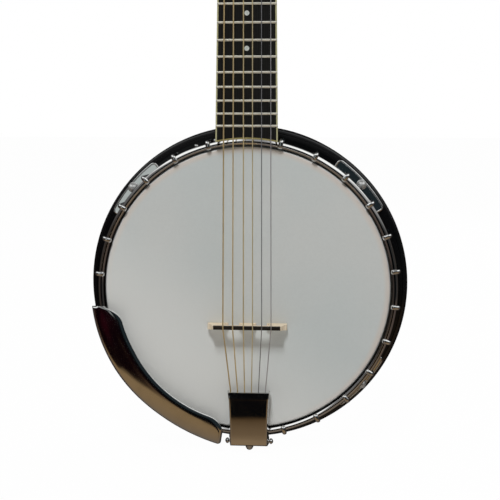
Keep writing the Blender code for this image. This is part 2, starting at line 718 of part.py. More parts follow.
def build_bridge():
    """An (x, h) outline, h forwards from the head, thinning towards the strings."""
    left, right = span(BRIDGE_X, BRIDGE_HALF)
    outline = [(left, GAP)]
    for start, stop in ARCHES:
        outline += bridge_arch(BRIDGE_X + start, BRIDGE_X + stop)
    outline += [(right, GAP), (right, 11.8), (right - 5.8, 12.6), (right - 6.4, BRIDGE_H),
                (left + 6.4, BRIDGE_H), (left + 5.8, 12.6), (left, 11.8)]
    loft("bridge", [[(x, HEAD_Y - h, BRIDGE_Z + s * (3.5 - 1.7 * h / BRIDGE_H))
                     for x, h in outline] for s in (-1, 1)], MAPLE, smooth=False)


# ---------------------------------------------------------------- strings
STRING_BRIDGE_D = -16.2
STRING_NUT_STEP = 7.6
STRING_TAIL_STEP = 6.58
STRING_TAIL_X = 1.8
STRINGS = (               # x at the bridge, radius, material; strings 1 to 6
    (23.7, 0.45, STEEL), (14.9, 0.45, STEEL), (6.4, 0.5, BRONZE),
    (-2.2, 0.55, BRONZE), (-12.3, 0.6, BRONZE), (-21.5, 0.65, BRONZE))


def world_point(matrix, x, y, z):
    """A point of a local frame, in scene millimetres."""
    return matrix @ (Vector((x, y, z)) * MM) / MM


def build_strings():
    for i, ((x_bridge, radius, mat), (side, z_post)) in enumerate(zip(STRINGS, POSTS)):
        x_nut = (2.5 - i) * STRING_NUT_STEP
        x_tail = STRING_TAIL_X + (2.5 - i) * STRING_TAIL_STEP
        x_post = side * (POST_X - POST_WAIST_R - radius - 0.35)
        tube("string_%d" % (i + 1), [
            (x_tail, HEAD_Y - 8.4, -101.6),
            (x_tail, HEAD_Y - 8.9, -97.5),
            (x_bridge, HEAD_Y + STRING_BRIDGE_D, BRIDGE_Z),
            world_point(NECK, x_nut, -2.0, NUT_Z + 1.0),
            world_point(NECK, x_nut * 1.02, -1.8, NUT_Z + 5.2),
            world_point(PEG, x_post, -5.6, z_post)], radius, mat, seg=6)


build_rim()
build_head()
build_hoop()
build_resonator()
build_free_hooks()
build_flange_plates()
build_thumbscrews()
build_neck()
build_truss_rod()
build_fretboard()
build_string_nut()
build_tuners()
build_coordinator_rod()
build_armrest()
build_tailpiece_base()
build_tailpiece_cover()
build_tailpiece_fittings()
build_bridge()
build_strings()
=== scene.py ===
"""Six-string resonator banjo, built in detail round its CAD frame.

It stands as the CAD frame does: +Z runs up the neck, +X is the treble side, the head faces -Y.
Lengths are millimetres until a mesh is written; shaders, lamps and the camera use metres.
A depth is measured from the head's front face towards +Y, and a pot angle is in degrees
from +Z towards +X.
"""
import json
import math

import bmesh
import bpy
from mathutils import Matrix, Vector

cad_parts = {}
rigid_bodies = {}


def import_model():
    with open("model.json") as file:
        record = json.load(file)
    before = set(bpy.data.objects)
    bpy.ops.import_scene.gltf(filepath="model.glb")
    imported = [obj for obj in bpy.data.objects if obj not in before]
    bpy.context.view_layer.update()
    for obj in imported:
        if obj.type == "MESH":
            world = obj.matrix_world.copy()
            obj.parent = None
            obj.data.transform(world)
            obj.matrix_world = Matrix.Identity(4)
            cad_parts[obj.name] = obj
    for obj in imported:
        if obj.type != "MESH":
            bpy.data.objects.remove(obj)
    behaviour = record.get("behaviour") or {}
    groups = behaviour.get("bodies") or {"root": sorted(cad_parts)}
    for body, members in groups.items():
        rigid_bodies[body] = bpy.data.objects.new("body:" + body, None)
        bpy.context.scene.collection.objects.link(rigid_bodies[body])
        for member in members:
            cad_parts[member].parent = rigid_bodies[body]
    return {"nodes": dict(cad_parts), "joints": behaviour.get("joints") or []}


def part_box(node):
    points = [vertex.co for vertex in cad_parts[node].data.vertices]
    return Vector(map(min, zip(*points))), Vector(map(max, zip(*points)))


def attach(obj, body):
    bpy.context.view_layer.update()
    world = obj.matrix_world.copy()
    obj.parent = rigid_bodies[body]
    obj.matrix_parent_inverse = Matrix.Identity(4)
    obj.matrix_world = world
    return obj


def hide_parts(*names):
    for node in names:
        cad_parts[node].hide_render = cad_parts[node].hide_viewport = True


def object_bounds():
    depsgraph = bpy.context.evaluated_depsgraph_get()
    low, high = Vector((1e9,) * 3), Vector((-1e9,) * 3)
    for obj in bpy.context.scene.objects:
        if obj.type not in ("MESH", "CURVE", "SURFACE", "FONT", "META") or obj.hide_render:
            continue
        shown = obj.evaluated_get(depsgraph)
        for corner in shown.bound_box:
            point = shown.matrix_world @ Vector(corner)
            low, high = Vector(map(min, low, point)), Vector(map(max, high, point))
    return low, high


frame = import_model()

CAD_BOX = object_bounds()
MM = 0.001
ROOT = "pot_and_neck"
SCENE = bpy.context.scene
JOINT = {joint["name"]: joint for joint in frame["joints"]}


def span(node):
    """(lowest, highest) corner of a CAD node, in millimetres."""
    low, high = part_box(node)
    return low / MM, high / MM


def joint_place(name):
    return Vector(JOINT[name]["pos_m"]) / MM


# ---------------------------------------------------------------- driving dimensions
# Pot
HEAD_Y = span("head")[0].y
HOOP_OUT = span("tension_hoop")[1].x
HOOP_TOP = span("tension_hoop")[0].y - HEAD_Y
RES_R = span("resonator")[1].x
RIM_IN, RIM_OUT = 127.5, 134.6
ROD_DEPTH, ROD_HOLE_R = 40, 2.9       # the hole along Z through the rim and the heel

# Hooks, flange plates and thumbscrews round the pot
POT_TURN = -1.0
HOOK_STEP = 360.0 / 26.0
HOOK_R = 144.2
CLAMPS = ((3, 4), (9, 10))            # pairs of hooks with a flange plate between them
THUMB_R = 146.6
THUMB_ANGLES = [side * (a + b) / 2 * HOOK_STEP + POT_TURN for side in (1, -1) for a, b in CLAMPS]
CORNERS = ("upper_right", "lower_right", "upper_left", "lower_left")
# Flange rivets: (radius, pot angle)
RIVETS = ((HOOK_R - 0.2, -1.5 * HOOK_STEP - POT_TURN / 4),
          (HOOK_R - 0.6, POT_TURN - 0.86 * HOOK_STEP))
NUT_STATIONS = ((32.0, 3.7), (32.6, 4.3), (38.4, 4.3), (39.0, 3.7))   # (depth, corner radius)

# Tailpiece and bridge
PIN = joint_place("tailpiece_cover_open")
KNOB = joint_place("tailpiece_screw_turn")
TAIL_X = PIN.x
STUD_Z = -145.1
BRIDGE_LO, BRIDGE_HI = span("bridge")
BRIDGE_X = (BRIDGE_LO.x + BRIDGE_HI.x) / 2
BRIDGE_Z = (BRIDGE_LO.z + BRIDGE_HI.z) / 2
BRIDGE_H = HEAD_Y - BRIDGE_LO.y

# Neck and headstock. In the neck's frame y is 0 at the fretboard's face; both frames have
# z along the neck and +y to the back.
SCALE = 664.0
FRETS = 22
DOT_FRETS = (3, 5, 7, 9, 12, 15, 17)
NECK_Z = 145.0
NUT_Z = 486.9
BOARD_T = 5.0
NECK_TOP = BOARD_T + 0.3
BOARD_W = (57.4, 43.4)                # at the neck frame's origin and at the nut
BOARD_END_R = 142.4
BINDING_W = 1.35
NECK_TILT = 1.5
HEADSTOCK_TILT = 12.0
HEADSTOCK_T = 14.0
POST_X = 26.0
POST_Z = (45.0, 85.0, 125.0)
POST_HOLE_R = 3.9
WORM_BACK = HEADSTOCK_T + 4.4
WORM_DROP = 9.0                       # from a post down to its worm

# Strings, first to sixth
STRING_R = (0.45, 0.45, 0.5, 0.55, 0.6, 0.65)
STRING_X_BRIDGE = (23.7, 14.9, 6.4, -2.2, -12.3, -21.5)
STRING_X_TAIL = [1.8 + (2.5 - i) * 6.58 for i in range(6)]
STRING_X_NUT = [(2.5 - i) * 7.6 for i in range(6)]


# ---------------------------------------------------------------- places
def place(x, y, z):
    return Matrix.Translation(Vector((x, y, z)) * MM)


def turn(degrees, axis="Y"):
    return Matrix.Rotation(math.radians(degrees), 4, axis)


NECK = place(0, HEAD_Y - 7.9, NECK_Z) @ turn(-NECK_TILT, "X")
PEG = NECK @ place(0, NECK_TOP, 495.0) @ turn(-HEADSTOCK_TILT, "X")


def pot(radius, degrees, depth):
    angle = math.radians(degrees)
    return (radius * math.sin(angle), HEAD_Y + depth, radius * math.cos(angle))


def station(k):
    """Pot angle of hook k, counted from the neck."""
    return HOOK_STEP * k + POT_TURN


def tuner_place(number):
    """(side, z) of a string's post on the headstock."""
    return (1, POST_Z[number - 1]) if number <= 3 else (-1, POST_Z[6 - number])


def board_half(z):
    return BOARD_W[0] / 2 + (BOARD_W[1] - BOARD_W[0]) / 2 * z / NUT_Z


def board_end(x):
    """Neck z where the board's end follows the pot's circle at x."""
    return math.sqrt(BOARD_END_R * BOARD_END_R - x * x) - NECK_Z


def fret_z(number):
    return NUT_Z - (SCALE - SCALE / 2 ** (number / 12))


def dot_z(number):
    return (fret_z(number) + fret_z(number - 1)) / 2


# ---------------------------------------------------------------- objects
def object_of(name, bm):
    mesh = bpy.data.meshes.new(name)
    bm.to_mesh(mesh)
    bm.free()
    obj = bpy.data.objects.new(name, mesh)
    SCENE.collection.objects.link(obj)
    return obj


def bmesh_of(verts, faces):
    bm = bmesh.new()
    made = [bm.verts.new(Vector(v) * MM) for v in verts]
    for face in faces:
        bm.faces.new([made[i] for i in face])
    return bm


def shade(mesh, angle):
    mesh.shade_smooth()
    mesh.set_sharp_from_angle(angle=math.radians(angle))


def dress(obj, body, replaces=None):
    if body:
        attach(obj, body)
    if replaces:
        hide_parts(replaces)
    return obj


def build(name, verts, faces, mat, matrix=None, smooth=35.0, body=ROOT, slot=None, replaces=None,
          cuts=(), cut_smooth=35.0):
    """A mesh piece from millimetre points, faces turned outwards, carved by its cuts."""
    bm = bmesh_of(verts, faces)
    bmesh.ops.remove_doubles(bm, verts=bm.verts, dist=1e-7)
    bmesh.ops.recalc_face_normals(bm, faces=bm.faces)
    if bm.calc_volume(signed=True) < 0:
        bmesh.ops.reverse_faces(bm, faces=bm.faces)
    if matrix is not None:
        bmesh.ops.transform(bm, matrix=matrix, verts=bm.verts)
    obj = object_of(name, bm)
    obj.data.materials.append(mat)
    shade(obj.data, smooth)
    if cuts:
        carve(obj, cuts, smooth=cut_smooth)
    return dress(obj, body, replaces)


def bevel(obj, width, segments=2, angle=30.0):
    edge = obj.modifiers.new("edge", "BEVEL")
    edge.width = width * MM
    edge.segments = segments
    edge.limit_method = "ANGLE"
    edge.angle_limit = math.radians(angle)
    edge.harden_normals = False
    edge.use_clamp_overlap = True


def settle(obj):
    """Turn an object's modifiers into its own mesh."""
    bpy.context.view_layer.update()
    depsgraph = bpy.context.evaluated_depsgraph_get()
    mesh = bpy.data.meshes.new_from_object(obj.evaluated_get(depsgraph))
    obj.modifiers.clear()
    obj.data = mesh


def carve(obj, cutters, operation="DIFFERENCE", smooth=35.0):
    """Exact Booleans, one at a time, settled into the mesh; the cutters are removed."""
    for cutter in cutters:
        cut = obj.modifiers.new("cut", "BOOLEAN")
        cut.operation = operation
        cut.solver = "EXACT"
        cut.object = cutter
        settle(obj)
    for cutter in cutters:
        bpy.data.objects.remove(cutter, do_unlink=True)
    bm = bmesh.new()
    bm.from_mesh(obj.data)
    bmesh.ops.remove_doubles(bm, verts=bm.verts, dist=2e-7)
    bmesh.ops.dissolve_degenerate(bm, dist=2e-7, edges=bm.edges)
    bm.to_mesh(obj.data)
    bm.free()
    shade(obj.data, smooth)


def joined(name, objs):
    """Several loose objects as one, without materials."""
    bm = bmesh.new()
    for obj in objs:
        part = obj.data.copy()
        part.transform(obj.matrix_world)
        bm.from_mesh(part)
        bpy.data.meshes.remove(part)
        bpy.data.objects.remove(obj, do_unlink=True)
    return object_of(name, bm)


# ---------------------------------------------------------------- outlines and solids
def fillet(points, radius, steps=5, closed=True):
    """A 2-D outline with each corner rounded; radius may be one number or a list."""
    out, count = [], len(points)
    for i, point in enumerate(points):
        size = radius[i] if isinstance(radius, (list, tuple)) else radius
        if (not closed and i in (0, count - 1)) or size <= 0:
            out.append(tuple(point))
            continue
        corner = Vector(point)
        back, ahead = Vector(points[i - 1]) - corner, Vector(points[(i + 1) % count]) - corner
        back_len, ahead_len = back.length, ahead.length
        back, ahead = back / back_len, ahead / ahead_len
        angle = math.acos(max(-1.0, min(1.0, back.dot(ahead))))
        if angle > math.pi - 0.03:
            out.append(tuple(point))
            continue
        reach = min(size / math.tan(angle / 2), 0.49 * back_len, 0.49 * ahead_len)
        size = reach * math.tan(angle / 2)
        centre = corner + (back + ahead).normalized() * (size / math.sin(angle / 2))
        start, end = corner + back * reach - centre, corner + ahead * reach - centre
        sweep_angle = math.pi - angle
        for k in range(steps + 1):
            f = k / steps
            spoke = (start * math.sin((1 - f) * sweep_angle)
                     + end * math.sin(f * sweep_angle)) / math.sin(sweep_angle)
            out.append(tuple(centre + spoke))
    return out


def mirrored(points, about=0):
    """The outline reflected in x, walked the other way."""
    return [(2 * about - x, other) for x, other in reversed(points)]


def circle(seg):
    angles = (2 * math.pi * (k + 0.5) / seg for k in range(seg))
    return [(math.cos(a), math.sin(a)) for a in angles]


def lathe(name, profile, mat, seg=192, front=HEAD_Y, **kw):
    """Revolve (radius, depth) round the Y axis; ends at radius 0 close as poles."""
    verts, faces, rows = [], [], []
    for radius, depth in profile:
        first = len(verts)
        if radius == 0:
            verts.append((0, front + depth, 0))
        else:
            for k in range(seg):
                a = 2 * math.pi * k / seg
                verts.append((radius * math.sin(a), front + depth, radius * math.cos(a)))
        rows.append(list(range(first, len(verts))))
    pairs = list(zip(rows, rows[1:]))
    if not (profile[0][0] == 0 and profile[-1][0] == 0):
        pairs.append((rows[-1], rows[0]))
    for a, b in pairs:
        for k in range(seg):
            n = (k + 1) % seg
            if len(a) == 1:
                faces.append((a[0], b[k], b[n]))
            elif len(b) == 1:
                faces.append((a[k], b[0], a[n]))
            else:
                faces.append((a[k], b[k], b[n], a[n]))
    return build(name, verts, faces, mat, **kw)


def loft(name, rings, mat, matrix=None, **kw):
    """Skin closed rings of equal count, and cap both ends."""
    n = len(rings[0])
    last = (len(rings) - 1) * n
    faces = []
    for row in range(0, last, n):
        for k in range(n):
            m = (k + 1) % n
            faces.append((row + k, row + m, row + n + m, row + n + k))
    faces.append(tuple(range(n)))
    faces.append(tuple(last + k for k in range(n)))
    return build(name, [p for ring in rings for p in ring], faces, mat, matrix, **kw)


def rod_rings(stations, axis="Y", seg=32, notch=0.0):
    """Rings round an axis; each second point is notched inwards."""
    rings = []
    for along, *radii in stations:
        ring = []
        for k, (c, s) in enumerate(circle(seg)):
            cut = notch * (k % 2)
            u, v = (radii[0] - cut) * c, (radii[-1] - cut) * s
            ring.append({"X": (along, u, v), "Y": (u, along, v), "Z": (u, v, along)}[axis])
        rings.append(ring)
    return rings


def rod(name, stations, mat, axis="Y", seg=32, **kw):
    """A piece turned on its own axis; stations are (place, radius[, other radius])."""
    return loft(name, rod_rings(stations, axis, seg), mat, **kw)


def prism(name, outline, front, back, mat, matrix=None, **kw):
    """An (x, z) outline carried from y = front to y = back."""
    return loft(name, [[(x, y, z) for x, z in outline] for y in (front, back)], mat, matrix, **kw)


def drill(radius, start, end, at=None, axis="Y", seg=24):
    return rod("cut", [(start, radius), (end, radius)], CHROME, axis, seg, matrix=at, body=None)


def block(low, high, matrix=None):
    """A box-shaped cutter."""
    (x0, y0, z0), (x1, y1, z1) = low, high
    corners = ((x0, y0), (x1, y0), (x1, y1), (x0, y1))
    return loft("cut", [[(x, y, z) for x, y in corners] for z in (z0, z1)], CHROME, matrix,
                body=None)


def post_holes(back):
    return joined("cut", [drill(POST_HOLE_R, -3, back, PEG @ place(side * POST_X, 0, z))
                          for side in (1, -1) for z in POST_Z])


def thread(start, end, turn_stations):
    """Stations of a screw's thread, one turn every 0.8."""
    out = []
    while start < end:
        out += [(start + along, radius) for along, radius in turn_stations]
        start += 0.8
    return out


def sweep(path, radius, seg):
    """Rings of a bar swept along 3-D points; radius is one number or one for each point."""
    points = [Vector(p) for p in path]
    rings, side = [], None
    for i, point in enumerate(points):
        back = (point - points[i - 1]) if i else (points[1] - point)
        ahead = (points[i + 1] - point) if i < len(points) - 1 else back
        tangent = (back.normalized() + ahead.normalized()).normalized()
        if side is None:
            side = tangent.orthogonal().normalized()
        side = (side - tangent * side.dot(tangent)).normalized()
        up = tangent.cross(side)
        size = radius[i] if isinstance(radius, list) else radius
        grow = 1.0 / max(0.75, tangent.dot(ahead.normalized()))
        rings.append([tuple(point + (side * c + up * s) * size * grow) for c, s in circle(seg)])
    return rings


# ---------------------------------------------------------------- shader helper
class Shader:
    """Short calls for the node tree of a material or a world."""

    SOCKETS = {"color": "Base Color", "metal": "Metallic", "rough": "Roughness",
               "normal": "Normal", "coat": "Coat Weight", "coat_rough": "Coat Roughness",
               "spec": "Specular IOR Level"}

    def __init__(self, owner):
        owner.use_nodes = True
        self.owner = owner
        self.tree = owner.node_tree
        self.coords = None

    def put(self, socket, value):
        if isinstance(value, bpy.types.NodeSocket):
            self.tree.links.new(value, socket)
        elif isinstance(value, (tuple, list)) and len(value) == 3 and socket.type == "RGBA":
            socket.default_value = (*value, 1.0)
        else:
            socket.default_value = value

    def add_node(self, kind, inputs, out=0, **settings):
        """Make a node, fill its inputs and return one of its outputs."""
        node = self.tree.nodes.new(kind)
        for key, value in settings.items():
            setattr(node, key, value)
        for key, value in inputs.items():
            self.put(node.inputs[key], value)
        return node.outputs[out]

    def co(self):
        if self.coords is None:
            self.coords = self.add_node("ShaderNodeTexCoord", {}, "Object")
        return self.coords

    def map(self, scale, rot=(0, 0, 0)):
        return self.add_node("ShaderNodeMapping", {
            "Vector": self.co(), "Scale": scale, "Rotation": [math.radians(a) for a in rot]})

    def noise(self, scale, detail=3.0, rough=0.5, vec=None, distort=0.0):
        return self.add_node("ShaderNodeTexNoise", {
            "Vector": vec or self.co(), "Scale": scale, "Detail": detail, "Roughness": rough,
            "Distortion": distort}, "Fac")

    def wave(self, scale, distort, detail, dscale, vec, axis):
        return self.add_node("ShaderNodeTexWave", {
            "Vector": vec, "Scale": scale, "Distortion": distort, "Detail": detail,
            "Detail Scale": dscale}, "Fac", bands_direction=axis)

    def voronoi(self, scale, vec=None, feature="F1", out="Distance"):
        return self.add_node("ShaderNodeTexVoronoi", {"Vector": vec or self.co(), "Scale": scale},
                             out, feature=feature)

    def math(self, operation, a, b=0.0):
        return self.add_node("ShaderNodeMath", {0: a, 1: b, 2: 0.0}, operation=operation)

    def add(self, a, b):
        return self.math("ADD", a, b)

    def sub(self, a, b):
        return self.math("SUBTRACT", a, b)

    def mul(self, a, b):
        return self.math("MULTIPLY", a, b)

    def fade(self, value, start, end, out=(0.0, 1.0)):
        """Smooth step from out[0] at start to out[1] at end."""
        return self.add_node("ShaderNodeMapRange", {
            "Value": value, "From Min": start, "From Max": end, "To Min": out[0],
            "To Max": out[1]}, "Result", interpolation_type="SMOOTHSTEP")

    def band(self, value, rise, fall):
        """1 between the rise and the fall, 0 outside."""
        return self.mul(self.fade(value, *rise), self.fade(value, *fall))

    def mix(self, factor, a, b):
        return self.add_node("ShaderNodeMix", {0: factor, 6: a, 7: b}, 2, data_type="RGBA")

    def axis(self, which):
        return self.add_node("ShaderNodeSeparateXYZ", {0: self.co()}, which)

    def radius(self):
        """Distance from the pot's axis, in millimetres."""
        node = self.axis("X").node
        x, z = node.outputs["X"], node.outputs["Z"]
        squares = self.add(self.mul(x, x), self.mul(z, z))
        return self.mul(self.math("SQRT", squares), 1000.0)

    def bump(self, height, strength, distance):
        return self.add_node("ShaderNodeBump", {
            "Strength": strength, "Distance": distance, "Height": height}, "Normal")

    def surface(self, **values):
        bsdf = self.tree.nodes["Principled BSDF"]
        for key, value in values.items():
            self.put(bsdf.inputs[self.SOCKETS[key]], value)
        return self.owner


def new_shader(name):
    return Shader(bpy.data.materials.new(name))


def dim(colour, factor):
    return tuple(c * factor for c in colour)


# ---------------------------------------------------------------- kinds of material
def chrome(name, tint=(0.70, 0.70, 0.695), rough=0.05, streak=0.12, wobble=0.02, smear=0.05,
           metal=1.0):
    """Plated steel: smudges that dull it in patches, hairline marks and faint waviness."""
    mat = new_shader(name)
    smudge = mat.noise(55.0, detail=4.0, rough=0.6)
    fine = mat.noise(900.0, detail=2.0, vec=mat.map((1.0, 1.0, streak)))
    values = {
        "color": mat.mix(mat.fade(smudge, 0.45, 0.75), tint, dim(tint, 0.93)),
        "rough": mat.add(mat.fade(smudge, 0.35, 0.8, out=(rough, rough + smear)),
                         mat.mul(fine, 0.02)),
        "metal": metal}
    if wobble > 0:
        waviness = mat.noise(38.0, detail=1.5, rough=0.4)
        values["normal"] = mat.bump(waviness, strength=wobble, distance=0.0012)
    return mat.surface(**values)


def paint_gap_shade(material):
    """Painted shade: darken the hoop's inner wall, most of all towards +Z, and its groove, where
    shade falls.
    """
    mat = Shader(material)
    base = mat.tree.nodes["Principled BSDF"].inputs["Base Color"].links[0].from_socket
    radius = mat.radius()
    height = mat.mul(mat.axis("Z"), 1000.0)
    # painted shade on the inner wall, darkest towards +Z
    wall = mat.mul(mat.fade(radius, 137.55, 137.35),
                   mat.fade(height, -110.0, -10.0, out=(0.25, 1.0)))
    # painted shade in the narrow groove between the ridges
    groove = mat.band(radius, (138.9, 139.05), (140.3, 140.15))
    color = mat.mix(wall, base, (0.012, 0.012, 0.013))
    return mat.surface(color=mat.mix(groove, color, (0.014, 0.012, 0.011)))


def cast(name, tint=(0.52, 0.52, 0.53), rough=0.36):
    mat = new_shader(name)
    grain = mat.noise(1400.0, rough=0.6)
    patch = mat.noise(60.0)
    return mat.surface(color=mat.mix(mat.fade(patch, 0.3, 0.7), tint, dim(tint, 0.82)), metal=1.0,
                       rough=mat.fade(patch, 0.3, 0.7, out=(rough, rough + 0.12)),
                       normal=mat.bump(grain, strength=0.25, distance=0.00012))


def film(name):
    """Frosted drum film: fine stipple, with a warm band near the crown, painted light towards the
    tailpiece and painted shade in the gap by the hoop.
    """
    mat = new_shader(name)
    radius = mat.radius()
    stipple = mat.noise(420.0, detail=4.0, rough=0.62)
    cells = mat.voronoi(330.0, feature="SMOOTH_F1")
    broad = mat.noise(9.0, detail=2.0)
    base = mat.mix(mat.fade(broad, 0.32, 0.68), (0.655, 0.690, 0.690), (0.700, 0.712, 0.704))
    base = mat.mix(mat.mul(mat.fade(stipple, 0.3, 0.7), 0.10), base, (0.52, 0.54, 0.54))
    # warm band, its inner edge uneven
    ragged = mat.add(radius, mat.mul(mat.sub(mat.noise(26.0, detail=2.0), 0.5), 3.0))
    base = mat.mix(mat.mul(mat.fade(ragged, 128.0, 133.5), 0.85), base, (0.735, 0.655, 0.600))
    # painted light: paler towards the tailpiece and the bass side
    slant = mat.add(mat.axis("Z"), mat.mul(mat.axis("X"), 0.75))
    low = mat.fade(mat.mul(slant, 1000.0), 20.0, -130.0)
    base = mat.mix(low, base, (0.84, 0.84, 0.825))
    # grey turn-down, then painted shade on its dark far side, down in the gap by the hoop
    base = mat.mix(mat.fade(radius, 134.3, 134.9), base, (0.66, 0.67, 0.67))
    # painted shade: near-black where the film drops into the gap
    base = mat.mix(mat.fade(radius, 135.5, 135.75), base, (0.045, 0.046, 0.047))
    height = mat.add(stipple, mat.mul(cells, 0.5))
    return mat.surface(color=base, rough=mat.fade(radius, 132.8, 134.0, out=(0.50, 0.24)),
                       spec=0.42, normal=mat.bump(height, strength=0.22, distance=0.00018))


def lacquer(name, base, rough, coat, spec=0.45):
    """Sprayed lacquer: faint orange peel, hairline scratches, a little dust."""
    mat = new_shader(name)
    peel = mat.noise(260.0, detail=2.0)
    hairline = mat.noise(1500.0, detail=2.0, vec=mat.map((1.0, 0.06, 0.9), (20, 34, 10)))
    scratch = mat.fade(hairline, 0.62, 0.76)
    dust = mat.fade(mat.noise(700.0, detail=4.0, rough=0.7), 0.66, 0.84)
    patch = mat.fade(mat.noise(40.0, rough=0.6), 0.3, 0.75, out=(rough, rough + 0.10))
    height = mat.add(peel, mat.mul(scratch, 0.02))
    return mat.surface(color=mat.mix(mat.mul(dust, 0.12), base, (0.045, 0.045, 0.048)),
                       rough=mat.add(patch, mat.mul(scratch, 0.03)), spec=spec, coat=coat,
                       coat_rough=0.06, normal=mat.bump(height, strength=0.03, distance=0.0003))


def wood(name, dark, light, along, scale, rough, pores, coat=0.0, stretch=0.06, spec=0.5):
    """Straight-grained wood running along X or Z."""
    mat = new_shader(name)
    vec = mat.map({"X": (stretch, 1, 1), "Z": (1, 1, stretch)}[along])
    rings = mat.wave(scale, distort=3.2, detail=3.0, dscale=1.4, vec=vec,
                     axis={"X": "Y", "Z": "X"}[along])
    streak = mat.noise(scale * 9.0, detail=4.0, rough=0.6, vec=vec)
    fibre = mat.noise(scale * 30.0, rough=0.6, vec=vec)
    figure = mat.add(mat.mul(rings, 0.55), mat.mul(streak, 0.45))
    color = mat.mix(mat.fade(figure, 0.25, 0.8), dark, light)
    pore = mat.fade(fibre, 0.60, 0.72)
    height = mat.sub(streak, mat.mul(pore, 0.8))
    return mat.surface(color=mat.mix(mat.mul(pore, pores), color, dim(dark, 0.45)),
                       rough=mat.fade(streak, 0.3, 0.7, out=(rough, rough + 0.1)), coat=coat,
                       coat_rough=0.08, spec=spec,
                       normal=mat.bump(height, strength=0.05 if coat else 0.18, distance=0.00015))


def plain(name, colour, rough, spot, scale):
    """Moulded or cut material with slight mottling."""
    mat = new_shader(name)
    fine = mat.noise(scale, rough=0.55)
    broad = mat.noise(scale * 0.12, detail=2.0)
    color = mat.mix(mat.fade(fine, 0.3, 0.7), colour, dim(colour, spot))
    color = mat.mix(mat.fade(broad, 0.35, 0.7), color, dim(colour, 2 - spot))
    return mat.surface(color=color, rough=mat.fade(broad, 0.3, 0.7, out=(rough, rough + 0.08)),
                       coat_rough=0.08, normal=mat.bump(fine, strength=0.05, distance=0.0002))


def pearl(name, light, deep, blush, scale):
    """Swirls of two colours, with cells of a third."""
    mat = new_shader(name)
    cells = mat.voronoi(scale, vec=mat.map((1, 1, 0.5)), out="Color")
    cell = mat.add_node("ShaderNodeSeparateXYZ", {0: cells}, "X")
    swirl = mat.noise(scale * 0.9, rough=0.6, distort=1.6)
    color = mat.mix(mat.fade(swirl, 0.3, 0.7), light, deep)
    return mat.surface(color=mat.mix(mat.mul(cell, 0.45), color, blush), rough=0.16, coat=0.5,
                       coat_rough=0.05, spec=0.6,
                       normal=mat.bump(swirl, strength=0.06, distance=0.0002))


def wound(name, tint, pitch):
    """Wire wrapped round a core: ridges across the string, with painted shade in the grooves
    between them so the crowns read brighter.
    """
    mat = new_shader(name)
    turns = mat.wave(0.31416 / pitch, distort=0.0, detail=0.0, dscale=1.0, axis="Z",
                     vec=mat.map((1, 1, 1)))
    tarnish = mat.noise(45.0, detail=4.0, rough=0.6)
    base = mat.mix(mat.fade(tarnish, 0.35, 0.75), tint, dim(tint, 0.72))
    # painted shade between the turns of the winding
    return mat.surface(color=mat.mix(mat.fade(turns, 0.0, 0.45), dim(tint, 0.85), base),
                       metal=0.55, rough=mat.fade(tarnish, 0.3, 0.8, out=(0.34, 0.46)),
                       normal=mat.bump(turns, strength=0.15, distance=pitch * 0.2))


# ---------------------------------------------------------------- materials
CHROME = chrome("chrome_plate")
# the hoop's chrome carries painted shade on its inner wall and in its groove
HOOP = paint_gap_shade(chrome("hoop_chrome_painted_shade", tint=(0.70, 0.695, 0.685), rough=0.045, wobble=0.0,
                        smear=0.03))
SATIN = chrome("thumbscrew_chrome", tint=(0.66, 0.66, 0.655), rough=0.34, wobble=0.0,
               metal=0.62)
CHROME_ARM = chrome("armrest_chrome", tint=(0.66, 0.655, 0.645), streak=0.05, wobble=0.04,
                    smear=0.03)
CHROME_TAIL = chrome("tailpiece_chrome", tint=(0.66, 0.655, 0.645), rough=0.045, streak=0.05,
                     wobble=0.03, smear=0.025)
STEEL = chrome("nickel_steel", tint=(0.58, 0.57, 0.55), rough=0.16, wobble=0.03)
CAST = cast("cast_aluminium")
FILM = film("frosted_film_painted_light_and_shade")
BLACK = lacquer("black_lacquer", base=(0.0045, 0.0045, 0.005), rough=0.13, coat=0.2, spec=0.32)
FLANGE = lacquer("flange_enamel", base=(0.004, 0.004, 0.0045), rough=0.15, coat=0.0, spec=0.25)
PLATE = chrome("flange_plate_chrome", tint=(0.68, 0.68, 0.675), rough=0.06, wobble=0.0,
               smear=0.02)
COVER = lacquer("black_cover_plastic", base=(0.012, 0.012, 0.012), rough=0.22, coat=0.2)
MAPLE = wood("bridge_maple", dark=(0.84, 0.67, 0.48), light=(1.0, 0.87, 0.69), along="X",
             scale=170.0, rough=0.5, pores=0.2, stretch=0.12)
EBONY = wood("bridge_ebony", dark=(0.008, 0.006, 0.005), light=(0.040, 0.026, 0.018), along="X",
             scale=200.0, rough=0.42, pores=0.5)
BOARD = wood("fretboard_ebony", dark=(0.0070, 0.0068, 0.0066), light=(0.0125, 0.0120, 0.0112),
             along="Z", scale=150.0, rough=0.46, pores=0.5, stretch=0.03, spec=0.22)
NECKWOOD = wood("neck_mahogany", dark=(0.055, 0.024, 0.013), light=(0.135, 0.062, 0.033),
                along="Z", scale=70.0, rough=0.22, coat=0.7, pores=0.3)
VENEER = lacquer("headstock_veneer", base=(0.012, 0.011, 0.011), rough=0.15, coat=0.6)
BINDING = plain("cream_binding", (0.50, 0.47, 0.27), rough=0.32, spot=0.93, scale=500.0)
END_STRIP = plain("board_end_binding", (0.36, 0.30, 0.12), rough=0.30, spot=0.9, scale=500.0)
BONE = plain("bone", (0.74, 0.70, 0.57), rough=0.32, spot=0.93, scale=380.0)
PEARL = pearl("pearl_dot", light=(0.78, 0.80, 0.76), deep=(0.55, 0.60, 0.58),
              blush=(0.80, 0.72, 0.68), scale=220.0)
BUTTON = pearl("button_pearloid", light=(0.72, 0.69, 0.60), deep=(0.60, 0.57, 0.48),
               blush=(0.78, 0.76, 0.70), scale=90.0)
FRETWIRE = chrome("fret_wire", tint=(0.96, 0.92, 0.80), rough=0.22, wobble=0.0, metal=0.55)
